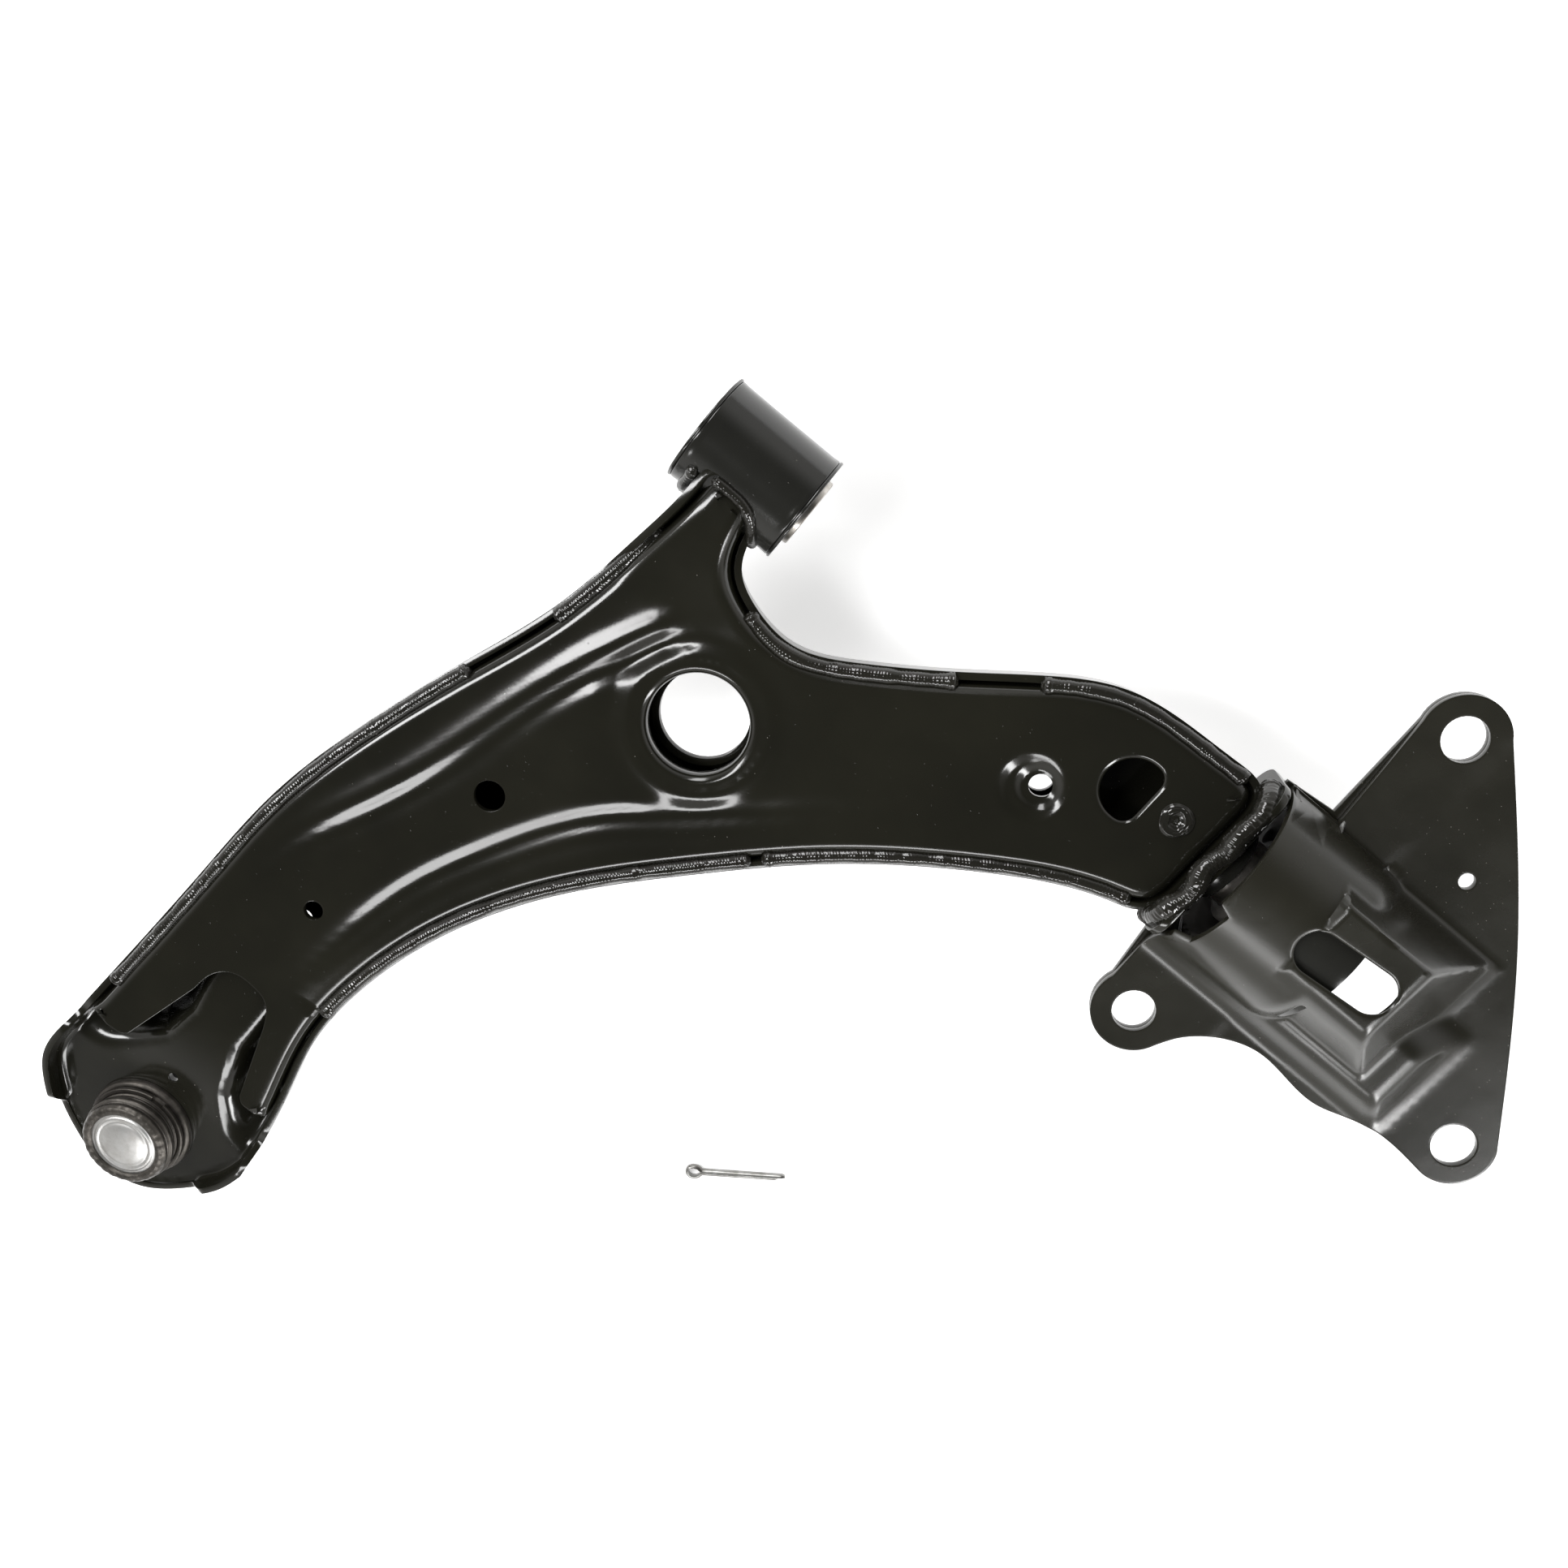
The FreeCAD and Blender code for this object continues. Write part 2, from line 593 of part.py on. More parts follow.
def bracket_lower():
    """The strap that closes round the bush from below and doubles two of the bolt lobes."""
    wide = REAR_SLEEVE_LENGTH - COLLAR_SETBACK - 2
    front = V(COLLAR_X - 2, 0, 0)
    neck = COLLAR_R - 1
    upper = polygon([on_lobe(UPPER_LOBE, 195), REAR + V(12, neck + 1, 0),
                     front + V(0, neck, 0), front + V(0, neck - 5, 0),
                     front + V(wide, neck - 5, 0), on_lobe(UPPER_LOBE, 0)])
    ear = polygon([on_lobe(EAR_LOBE, 160), front + V(0, -neck - 2, 0),
                   front + V(0, 5 - neck, 0), front + V(wide, 5 - neck, 0),
                   on_lobe(EAR_LOBE, 350)])
    plates = [prism(upper, -SHEET, 0), prism(ear, -SHEET, 0)]
    for lobe in (UPPER_LOBE, EAR_LOBE):
        plates.append(post(LOBE_R, SPAN + lobe.x, lobe.y, -SHEET, 0))
    strap = rod(COLLAR_R, COLLAR_X - 2, wide)
    strap = strap.common(box((0, -60, -60), (2 * SPAN, 60, 0)))
    body = strap.fuse(plates).removeSplitter()
    return body.cut([rod(REAR_SLEEVE_R, SLEEVE_X - 20, 100),
                     bolt_hole(UPPER_LOBE, BRACKET_HOLE_R), bolt_hole(EAR_LOBE, EAR_HOLE_R)])


# ---- ball joint --------------------------------------------------------------------------------
def ball_joint_housing():
    """Turned steel cup: rolled rim above, press fit in the pad, boot groove at its foot."""
    groove = HOUSING_FLANGE + PAD_TOP + 2.0
    profile = [(SEAT_R, HOUSING_FOOT + 2), (HOUSING_FOOT_R - 2.2, HOUSING_FOOT),
               (HOUSING_FOOT_R, HOUSING_FOOT), (HOUSING_FOOT_R, HOUSING_FOOT + 5),
               (PRESS_R, HOUSING_FOOT + 6),
               (PRESS_R, PAD_TOP), (HOUSING_FLANGE_R, PAD_TOP),
               (HOUSING_FLANGE_R, PAD_TOP + HOUSING_FLANGE),
               (HOUSING_RIM_R, PAD_TOP + HOUSING_FLANGE), (HOUSING_RIM_R, groove + 4.0),
               (HOUSING_RIM_R + 0.8, groove + 4.0), (HOUSING_RIM_R + 0.8, groove + 6.0),
               (HOUSING_RIM_R, groove + 6.8), (HOUSING_RIM_R, HOUSING_RIM - 1),
               (HOUSING_RIM_R - 1, HOUSING_RIM), (HOUSING_MOUTH_R, HOUSING_RIM),
               (HOUSING_MOUTH_R, HOUSING_RIM - 1.4), (SEAT_R, HOUSING_RIM - 1.4)]
    return leaned(turned(profile))


def snap_ring():
    low = PAD_TOP + HOUSING_FLANGE + 1.0
    ring = post(SNAP_RING_R, 0, 0, low, low + SNAP_RING)
    ring = ring.cut(post(HOUSING_RIM_R, 0, 0, low, low + SNAP_RING))
    mouth = box((-2.5, 0, low - 1), (2.5, SNAP_RING_R + 2, low + SNAP_RING + 1))
    return leaned(ring.cut(mouth))


def cover_plate():
    """Bright domed cap under the rolled rim, closing the top of the housing."""
    top = HOUSING_RIM - 1.4
    sheet = 1.2
    dome_rise = 1.6
    dish_r = HOUSING_MOUTH_R - 2.4
    outer = [V(0, 0, top + dome_rise), V(dish_r / 2, 0, top + dome_rise * 0.75),
             V(dish_r, 0, top)]
    inner = [p - V(0, 0, sheet) for p in outer]
    edges = [spline(outer), line(outer[2], V(SEAT_R, 0, top)),
             line(V(SEAT_R, 0, top), V(SEAT_R, 0, top - sheet)),
             line(V(SEAT_R, 0, top - sheet), inner[2]), spline(list(reversed(inner))),
             line(inner[0], outer[0])]
    return leaned(face_of(edges).revolve(V(0, 0, 0), Z_AXIS, 360))


def ball_seat():
    """Plastic socket that wraps the ball; its mouth leaves room for the neck to tilt."""
    top = HOUSING_RIM - 2.6
    bottom = HOUSING_FOOT + 3.0
    cup = post(SEAT_R, 0, 0, bottom, top)
    cup = cup.cut(Part.makeSphere(BALL_R + RUN))
    mouth = Part.makeCone(15.5, 9.5, 7, V(0, 0, bottom - 1))
    return leaned(cup.cut(mouth))


def ball_stud():
    ball = Part.makeSphere(BALL_R)
    bottom = STUD_TIP
    shank = turned([(0, 0), (STUD_NECK_R, 0), (STUD_NECK_R, -BALL_R - 4),
                    (STUD_TAPER_R, STUD_TAPER_TOP), (STUD_TAPER_END_R, STUD_TAPER_END),
                    (STUD_THREAD_R, STUD_TAPER_END), (STUD_THREAD_R, bottom + 1.5),
                    (STUD_THREAD_R - 1.5, bottom), (0, bottom)])
    hole_z = NUT_TOP - NUT_LENGTH + NUT_CROWN / 2
    hole = Part.makeCylinder(COTTER_HOLE_R, 30, V(0, -15, hole_z), V(0, 1, 0))
    flat = post(BALL_R, 0, 0, BALL_R - 1.2, BALL_R + 1)
    return leaned(ball.fuse(shank).removeSplitter().cut([hole, flat]))


def castle_nut():
    """Slotted nut on the stud's thread; its castle points away from the taper."""
    corner = NUT_AF / math.sqrt(3)
    points = []
    for i in range(6):
        angle = math.radians(60 * i)
        points.append(V(corner * math.cos(angle), corner * math.sin(angle), 0))
    low = NUT_TOP - NUT_LENGTH
    hexagon = prism(polygon(points), low + NUT_CROWN, NUT_TOP)
    nut = hexagon.fuse(post(NUT_AF / 2 - 1, 0, 0, low, low + NUT_CROWN)).removeSplitter()
    cuts = [post(STUD_THREAD_R + RUN, 0, 0, low - 1, NUT_TOP + 1)]
    for i in range(3):
        groove = box((-NUT_SLOT / 2, -NUT_AF, low - 1), (NUT_SLOT / 2, NUT_AF, low + NUT_CROWN - 1))
        groove.rotate(V(0, 0, 0), Z_AXIS, 60 * i)
        cuts.append(groove)
    return leaned(nut.cut(cuts))


def boot_top():
    return HOUSING_FOOT + 4.6


def dust_boot():
    """Hollow rubber bellows from the housing's foot to the top of the stud's taper."""
    top = boot_top()
    bore = STUD_TAPER_R + 0.3
    rim_bore = HOUSING_FOOT_R + 0.1
    low = BOOT_BOTTOM + BOOT_CUFF
    outer = [V(BOOT_RIM_R, 0, top - BOOT_CUFF), V(BOOT_BULGE_R, 0, top - 7),
             V(15.5, 0, low + 2.3), V(BOOT_NECK_R, 0, low)]
    inner = [V(bore, 0, low + 1.2), V(14.2, 0, low + 3.8),
             V(BOOT_BULGE_R - BOOT_WALL, 0, top - 7), V(rim_bore, 0, top - BOOT_CUFF - 1)]
    edges = [line(V(BOOT_RIM_R, 0, top), outer[0]), spline(outer),
             line(outer[-1], V(BOOT_NECK_R, 0, BOOT_BOTTOM)),
             line(V(BOOT_NECK_R, 0, BOOT_BOTTOM), V(bore, 0, BOOT_BOTTOM)),
             line(V(bore, 0, BOOT_BOTTOM), inner[0]), spline(inner),
             line(inner[-1], V(rim_bore, 0, top)),
             line(V(rim_bore, 0, top), V(BOOT_RIM_R, 0, top))]
    return leaned(face_of(edges).revolve(V(0, 0, 0), Z_AXIS, 360))


def clip(inner_r, height, wire_r):
    """A round wire ring that clamps one end of the boot."""
    return leaned(Part.makeTorus(inner_r + wire_r, wire_r, V(0, 0, height)))


def boot_housing_clip():
    return clip(BOOT_RIM_R + CLIP_GAP, boot_top() - BOOT_CUFF / 2, 0.8)


def boot_stud_clip():
    return clip(BOOT_NECK_R + CLIP_GAP, BOOT_BOTTOM + BOOT_CUFF / 2, 0.7)


# ---- loose cotter pin --------------------------------------------------------------------------
def cotter_pin(floor_z):
    """Split pin of half-round wire, lying flat, its eye towards the arm's foot."""
    legs = []
    for side, length in ((1, COTTER_LONG_LEG), (-1, COTTER_SHORT_LEG)):
        bar = Part.makeCylinder(COTTER_WIRE_R, length, V(COTTER_EYE_R, 0, 0), X_AXIS)
        half = box((0, 0, -5), (COTTER_LONG_LEG + 5, 5, 5))
        half.translate(V(0, 0.04, 0))
        if side < 0:
            half.rotate(V(0, 0, 0), X_AXIS, 180)
        legs.append(bar.common(half))
    eye = Part.makeTorus(COTTER_EYE_R, COTTER_EYE_WIRE_R, V(0, 0, 0))
    pin = eye.fuse(legs)
    pin.rotate(V(0, 0, 0), Z_AXIS, COTTER_TURN)
    pin.translate(V(COTTER_X, COTTER_Y, floor_z + COTTER_WIRE_R))
    return pin


def build():
    os.makedirs("parts", exist_ok=True)
    stud = ball_stud()
    shells = [lower_shell(), upper_shell()]
    seams = seam_welds(shells)
    plate = end_plate()
    pieces = {
        "lower_shell": shells[0],
        "upper_shell": shells[1],
        "seam_welds": seams,
        "plug_weld": plug_weld(),
        "front_bush_eye": front_bush_eye(),
        "eye_weld": eye_weld(shells),
        "front_bush_outer_sleeve": front_outer_sleeve(),
        "front_bush_rubber": front_rubber(),
        "front_bush_inner_sleeve": front_inner_sleeve(),
        "end_plate": plate,
        "end_plate_weld": end_plate_weld(shells + [seams, plate]),
        "pivot_pin": pivot_pin(),
        "rear_bush_inner_sleeve": rear_inner_sleeve(),
        "rear_bush_outer_sleeve": rear_outer_sleeve(),
        "rear_bush_rubber": rear_rubber(),
        "bracket_upper": bracket_upper(),
        "bracket_lower": bracket_lower(),
        "ball_joint_housing": ball_joint_housing(),
        "ball_joint_snap_ring": snap_ring(),
        "ball_joint_cap": cover_plate(),
        "ball_seat": ball_seat(),
        "ball_stud": stud,
        "castle_nut": castle_nut(),
        "dust_boot": dust_boot(),
        "boot_housing_clip": boot_housing_clip(),
        "boot_stud_clip": boot_stud_clip(),
        "cotter_pin": cotter_pin(stud.BoundBox.ZMin),
    }
    for name, shape in pieces.items():
        save(name, shape)
        solids = len(shape.Solids)
        low = shape.BoundBox
        print("%-26s solids %d volume %9.1f valid %s  z %.1f..%.1f" % (
            name, solids, shape.Volume, shape.isValid(), low.ZMin, low.ZMax))


build()
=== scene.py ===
import math

import bmesh
import bpy
import numpy as np
from mathutils import Matrix, Vector, kdtree
from mathutils.geometry import delaunay_2d_cdt


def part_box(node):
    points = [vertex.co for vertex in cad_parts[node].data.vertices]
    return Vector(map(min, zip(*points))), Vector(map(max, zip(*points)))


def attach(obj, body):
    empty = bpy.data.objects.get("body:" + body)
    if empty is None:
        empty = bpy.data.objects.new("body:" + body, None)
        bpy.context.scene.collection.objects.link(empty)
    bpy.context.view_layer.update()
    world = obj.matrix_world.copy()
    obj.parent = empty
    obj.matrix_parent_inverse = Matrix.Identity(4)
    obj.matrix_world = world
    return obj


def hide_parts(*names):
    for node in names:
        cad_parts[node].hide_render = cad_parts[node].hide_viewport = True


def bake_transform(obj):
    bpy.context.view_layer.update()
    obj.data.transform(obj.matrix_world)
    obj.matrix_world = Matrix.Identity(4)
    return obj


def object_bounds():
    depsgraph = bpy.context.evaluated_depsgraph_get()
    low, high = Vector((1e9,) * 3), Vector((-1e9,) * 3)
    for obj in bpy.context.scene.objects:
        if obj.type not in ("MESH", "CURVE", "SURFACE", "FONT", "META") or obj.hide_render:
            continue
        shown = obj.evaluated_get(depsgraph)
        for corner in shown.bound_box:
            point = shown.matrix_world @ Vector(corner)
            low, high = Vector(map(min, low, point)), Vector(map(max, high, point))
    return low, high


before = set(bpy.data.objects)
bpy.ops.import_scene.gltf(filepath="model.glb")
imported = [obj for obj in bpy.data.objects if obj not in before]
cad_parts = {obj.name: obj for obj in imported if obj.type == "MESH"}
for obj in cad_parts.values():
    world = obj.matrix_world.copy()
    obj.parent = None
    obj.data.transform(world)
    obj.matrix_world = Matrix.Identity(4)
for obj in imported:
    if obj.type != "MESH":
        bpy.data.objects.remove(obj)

cad_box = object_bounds()
MM = 0.001

# ---- lower shell ---------------------------------------------------------------------------
# The lower half of the arm: 2.6 mm sheet pressed into an L-shaped pan with leaning walls, a
# raised pad with two lips for the ball joint, and flanged and plain holes. It is dip-coated
# in gloss black after welding, so fine dust nibs sit under the coat.
SHEET = 2.6
WALL_TOP = 9.0
FLOOR_UNDERSIDE = -12.5
WALL_DRAFT = 3.0
FLOOR_BEND_R = 5.0
BALL = (-28.0, -356.0, 1.0)
BALL_LEAN = math.radians(8)
PLATE_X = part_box("end_plate")[0].x / MM
EYE_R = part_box("front_bush_eye")[1].z / MM
EYE_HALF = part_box("front_bush_eye")[1].x / MM


def leg(share, offset):
    """A place part of the way from the front bush to the ball, moved sideways."""
    return BALL[0] * share + offset, BALL[1] * share


def beam(share, y):
    """A place part of the way from the front bush to the end plate."""
    return PLATE_X * share, y


def near_ball(x, y):
    return BALL[0] + x, BALL[1] + y


def evenly(line, step):
    """A line of points resampled at an even step."""
    run = np.linalg.norm(np.diff(line, axis=0), axis=1)
    along = np.concatenate([[0], np.cumsum(run)])
    marks = np.linspace(0, along[-1], max(2, int(round(along[-1] / step)) + 1))
    return np.stack([np.interp(marks, along, line[:, i]) for i in range(line.shape[1])], 1)


def through(points, step):
    """A smooth line through points."""
    p = np.array(points, float)
    h = np.linalg.norm(np.diff(p, axis=0), axis=1)
    t = np.concatenate([[0], np.cumsum(h)])
    n = len(p)
    a = np.eye(n)
    b = np.zeros_like(p)
    for i in range(1, n - 1):
        a[i, i - 1:i + 2] = h[i - 1], 2 * (h[i - 1] + h[i]), h[i]
        b[i] = 6 * ((p[i + 1] - p[i]) / h[i] - (p[i] - p[i - 1]) / h[i - 1])
    m = np.linalg.solve(a, b)
    fine = np.linspace(0, t[-1], int(t[-1] / 0.25) + 2)
    k = np.clip(np.searchsorted(t, fine, side="right") - 1, 0, n - 2)
    u = (fine - t[k])[:, None]
    hk = h[k][:, None]
    w = hk - u
    line = (m[k] * w ** 3 + m[k + 1] * u ** 3) / (6 * hk)
    line += (p[k] / hk - m[k] * hk / 6) * w + (p[k + 1] / hk - m[k + 1] * hk / 6) * u
    return evenly(line, step)


def straight(start, end, step):
    return evenly(np.array([start, end], float), step)


def closed(runs):
    """Runs that share their ends, joined into one loop."""
    return np.concatenate([run[:-1] for run in runs])


def eased_corner(first, second, reach):
    """Two runs that meet at a corner, with the corner eased into a curve."""
    corner, parts = first[-1], []
    for run in (first, second[::-1]):
        left = np.cumsum(np.linalg.norm(np.diff(run[::-1], axis=0), axis=1))
        parts.append(run[:len(run) - 1 - int(np.searchsorted(left, reach))])
    a, b = parts[0][-1], parts[1][-1]
    t = np.linspace(0, 1, max(6, int(reach)))[:, None]
    bend = (1 - t) ** 2 * a + 2 * t * (1 - t) * corner + t ** 2 * b
    return np.concatenate([parts[0][:-1], bend]), parts[1][::-1]


def inset(loop, distance):
    """A counter-clockwise loop moved inwards, mitred at its corners."""
    before = loop - np.roll(loop, 1, 0)
    after = np.roll(loop, -1, 0) - loop
    before /= np.linalg.norm(before, axis=1)[:, None]
    after /= np.linalg.norm(after, axis=1)[:, None]
    side = np.stack([-before[:, 1], before[:, 0]], 1)
    middle = side + np.stack([-after[:, 1], after[:, 0]], 1)
    middle /= np.linalg.norm(middle, axis=1)[:, None]
    reach = np.maximum((middle * side).sum(1), 0.6)
    return loop + middle * (np.broadcast_to(distance, len(loop)) / reach)[:, None]


def at_height(loop, z):
    return np.column_stack([loop[:, :2], np.broadcast_to(z, len(loop))])


def smooth(value, low, high):
    """0 below low, 1 above high, an S-curve between them."""
    t = np.clip((value - low) / (high - low), 0, 1)
    return t * t * (3 - 2 * t)


def inside(points, loop):
    x, y = points[:, 0], points[:, 1]
    found = np.zeros(len(points), bool)
    for (x0, y0), (x1, y1) in zip(loop[:, :2], np.roll(loop, -1, 0)[:, :2]):
        if y0 != y1:
            found ^= ((y0 > y) != (y1 > y)) & (x < (x1 - x0) * (y - y0) / (y1 - y0) + x0)
    return found


def honeycomb(low, high, spacing):
    """Evenly staggered points over a rectangle."""
    rows = np.arange(low[1], high[1], spacing * 0.866)
    columns = np.arange(low[0], high[0], spacing)
    x, y = np.meshgrid(columns, rows)
    x[1::2] += spacing / 2
    return np.column_stack([x.ravel(), y.ravel()])


def to_millimetre_mesh(name, verts, faces):
    mesh = bpy.data.meshes.new(name)
    mesh.from_pydata([tuple(v * MM) for v in np.array(verts, float)], [], faces)
    mesh.update()
    return mesh


def sheet_mesh(name, stacks, height, points, clearance, up=True):
    """A pressed sheet's outer face. Each stack is a run of rings from a free edge inwards;
    between the innermost rings the sheet follows the height function at the points."""
    verts, faces, rings = [], [], []
    for stack in stacks:
        count = len(stack[0])
        start = len(verts)
        for ring in stack:
            verts.extend(ring)
        for row in range(len(stack) - 1):
            for i in range(count):
                a = start + row * count + i
                b = start + row * count + (i + 1) % count
                faces.append((a, b, b + count, a + count))
        rings.append(list(range(len(verts) - count, len(verts))))
    loops = [np.array([verts[i] for i in ring]) for ring in rings]
    keep = inside(points, loops[0])
    for loop in loops[1:]:
        keep &= ~inside(points, loop)
    points = points[keep]
    tree = kdtree.KDTree(sum(len(loop) for loop in loops))
    for i, p in enumerate(np.concatenate(loops)):
        tree.insert((p[0], p[1], 0), i)
    tree.balance()
    far = [tree.find((x, y, 0))[2] > clearance for x, y in points]
    points = points[np.array(far, bool)]
    ids = [i for ring in rings for i in ring] + list(range(len(verts), len(verts) + len(points)))
    verts.extend(np.column_stack([points, height(points[:, 0], points[:, 1])]))
    flat = [Vector((verts[i][0], verts[i][1])) for i in ids]
    edges, start = [], 0
    for ring in rings:
        edges += [(start + i, start + (i + 1) % len(ring)) for i in range(len(ring))]
        start += len(ring)
    spots, _, triangles, origin, _, _ = delaunay_2d_cdt(flat, edges, [], 0, 1e-7)
    places = []
    for spot, source in zip(spots, origin):
        if source:
            places.append(ids[source[0]])
        else:
            places.append(len(verts))
            verts.append((spot.x, spot.y, height(np.array([spot.x]), np.array([spot.y]))[0]))
    centres = np.array([[sum(spots[v][k] for v in t) / 3 for k in (0, 1)] for t in triangles])
    good = inside(centres, loops[0])
    for loop in loops[1:]:
        good &= ~inside(centres, loop)
    faces += [tuple(places[v] for v in t) for t, ok in zip(triangles, good) if ok]
    mesh = to_millimetre_mesh(name, verts, faces)
    work = bmesh.new()
    work.from_mesh(mesh)
    bmesh.ops.remove_doubles(work, verts=work.verts, dist=0.00002)
    bmesh.ops.recalc_face_normals(work, faces=work.faces)
    lean = sum(f.normal.z * f.calc_area() for f in work.faces)
    if (lean > 0) != up:
        bmesh.ops.reverse_faces(work, faces=work.faces)
    work.to_mesh(mesh)
    work.free()
    return mesh


def piece(name, mesh):
    thing = bpy.data.objects.new(name, mesh)
    bpy.context.scene.collection.objects.link(thing)
    return thing


def thicken(thing, thickness, edge):
    solid = thing.modifiers.new("sheet", "SOLIDIFY")
    solid.thickness = thickness * MM
    solid.offset = -1
    ease(thing, edge)


def ease(thing, width, angle=50, segments=2):
    """Rounds a piece's sharp edges."""
    bevel = thing.modifiers.new("edges", "BEVEL")
    bevel.width = width * MM
    bevel.segments = segments
    bevel.limit_method = "ANGLE"
    bevel.angle_limit = math.radians(angle)
    bevel.use_clamp_overlap = True


def carve(thing, cutter):
    cut = thing.modifiers.new("cut", "BOOLEAN")
    cut.operation = "DIFFERENCE"
    cut.solver = "MANIFOLD"
    cut.object = cutter


def settle(thing, material, sharp=38):
    """Applies a piece's modifiers and gives it its material and shading."""
    graph = bpy.context.evaluated_depsgraph_get()
    graph.update()
    mesh = bpy.data.meshes.new_from_object(thing.evaluated_get(graph))
    thing.modifiers.clear()
    thing.data = mesh
    mesh.materials.clear()
    mesh.materials.append(material)
    mesh.shade_smooth()
    mesh.set_sharp_from_angle(angle=math.radians(sharp))
    return thing


def put(thing, body, slot, *nodes):
    """Says which body a piece rides and the nodes it stands for; the slot is not used."""
    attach(thing, body)
    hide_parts(*nodes)


def cylinder_cutter(radius, x0, x1):
    """A rod on the pivot axis, used to carve the room of the front eye."""
    mesh = bpy.data.meshes.new("rod")
    work = bmesh.new()
    turn = Matrix.Translation(((x0 + x1) / 2 * MM, 0, 0)) @ Matrix.Rotation(math.pi / 2, 4, "Y")
    bmesh.ops.create_cone(work, cap_ends=True, segments=128, radius1=radius * MM,
                          radius2=radius * MM, depth=(x1 - x0) * MM, matrix=turn)
    work.to_mesh(mesh)
    work.free()
    return piece("eye_room", mesh)


def group_tree(name, inputs, outputs):
    tree = bpy.data.node_groups.new(name, "ShaderNodeTree")
    for label, kind, value in inputs:
        made = tree.interface.new_socket(name=label, in_out="INPUT", socket_type=kind)
        if value is not None:
            made.default_value = value
    for label, kind in outputs:
        tree.interface.new_socket(name=label, in_out="OUTPUT", socket_type=kind)
    return tree, tree.nodes.new("NodeGroupInput"), tree.nodes.new("NodeGroupOutput")


def wire(tree, kind, values=None, **settings):
    """Adds a node, sets its properties and fills its sockets with values or links."""
    node = tree.nodes.new(kind)
    for key, value in settings.items():
        setattr(node, key, value)
    for key, value in (values or {}).items():
        if isinstance(value, bpy.types.NodeSocket):
            tree.links.new(value, node.inputs[key])
        else:
            node.inputs[key].default_value = value
    return node


def maths(tree, operation, a, b=0.0):
    return wire(tree, "ShaderNodeMath", {0: a, 1: b}, operation=operation).outputs[0]


def tinted(tree, share, first, second):
    """A colour part of the way from one to another."""
    return wire(tree, "ShaderNodeMix", {"Factor": share, 6: first, 7: second},
                data_type="RGBA").outputs[2]


def dust_nibs():
    """Dust grains caught in wet paint: small round bumps, thickly scattered in patches."""
    tree, given, result = group_tree(
        "dust_nibs",
        [("Vector", "NodeSocketVector", None), ("Scale", "NodeSocketFloat", 700.0),
         ("Density", "NodeSocketFloat", 0.3), ("Size", "NodeSocketFloat", 0.16)],
        [("Height", "NodeSocketFloat")])
    cells = wire(tree, "ShaderNodeTexVoronoi", {"Vector": given.outputs["Vector"],
                                                "Scale": given.outputs["Scale"]})
    pick = wire(tree, "ShaderNodeSeparateColor", {"Color": cells.outputs["Color"]})
    patches = wire(tree, "ShaderNodeTexNoise", {"Vector": given.outputs["Vector"],
                                                "Scale": 22.0, "Detail": 2.0})
    share = maths(tree, "MULTIPLY", patches.outputs["Fac"], given.outputs["Density"])
    chosen = maths(tree, "LESS_THAN", pick.outputs["Red"], share)
    size = maths(tree, "MULTIPLY", pick.outputs["Green"], given.outputs["Size"])
    dome = wire(tree, "ShaderNodeMapRange", {"Value": cells.outputs["Distance"],
                                             "From Min": size, "From Max": 0.0},
                interpolation_type="SMOOTHSTEP")
    tree.links.new(maths(tree, "MULTIPLY", dome.outputs[0], chosen), result.inputs["Height"])
    return tree


def paint_flow():
    """The slow waviness and fine orange peel of a dip coat."""
    tree, given, result = group_tree(
        "paint_flow",
        [("Vector", "NodeSocketVector", None), ("Peel", "NodeSocketFloat", 0.3),
         ("Peel Scale", "NodeSocketFloat", 900.0)],
        [("Height", "NodeSocketFloat"), ("Cloud", "NodeSocketFloat")])
    slow = wire(tree, "ShaderNodeTexNoise", {"Vector": given.outputs["Vector"], "Scale": 60.0,
                                             "Detail": 2.0})
    fine = wire(tree, "ShaderNodeTexNoise", {"Vector": given.outputs["Vector"],
                                             "Scale": given.outputs["Peel Scale"], "Detail": 1.0})
    weighed = maths(tree, "MULTIPLY", fine.outputs["Fac"], given.outputs["Peel"])
    height = maths(tree, "ADD", slow.outputs["Fac"], weighed)
    cloud = wire(tree, "ShaderNodeTexNoise", {"Vector": given.outputs["Vector"], "Scale": 14.0,
                                              "Detail": 4.0, "Roughness": 0.6})
    tree.links.new(height, result.inputs["Height"])
    tree.links.new(cloud.outputs["Fac"], result.inputs["Cloud"])
    return tree


NIBS = dust_nibs()
FLOW = paint_flow()


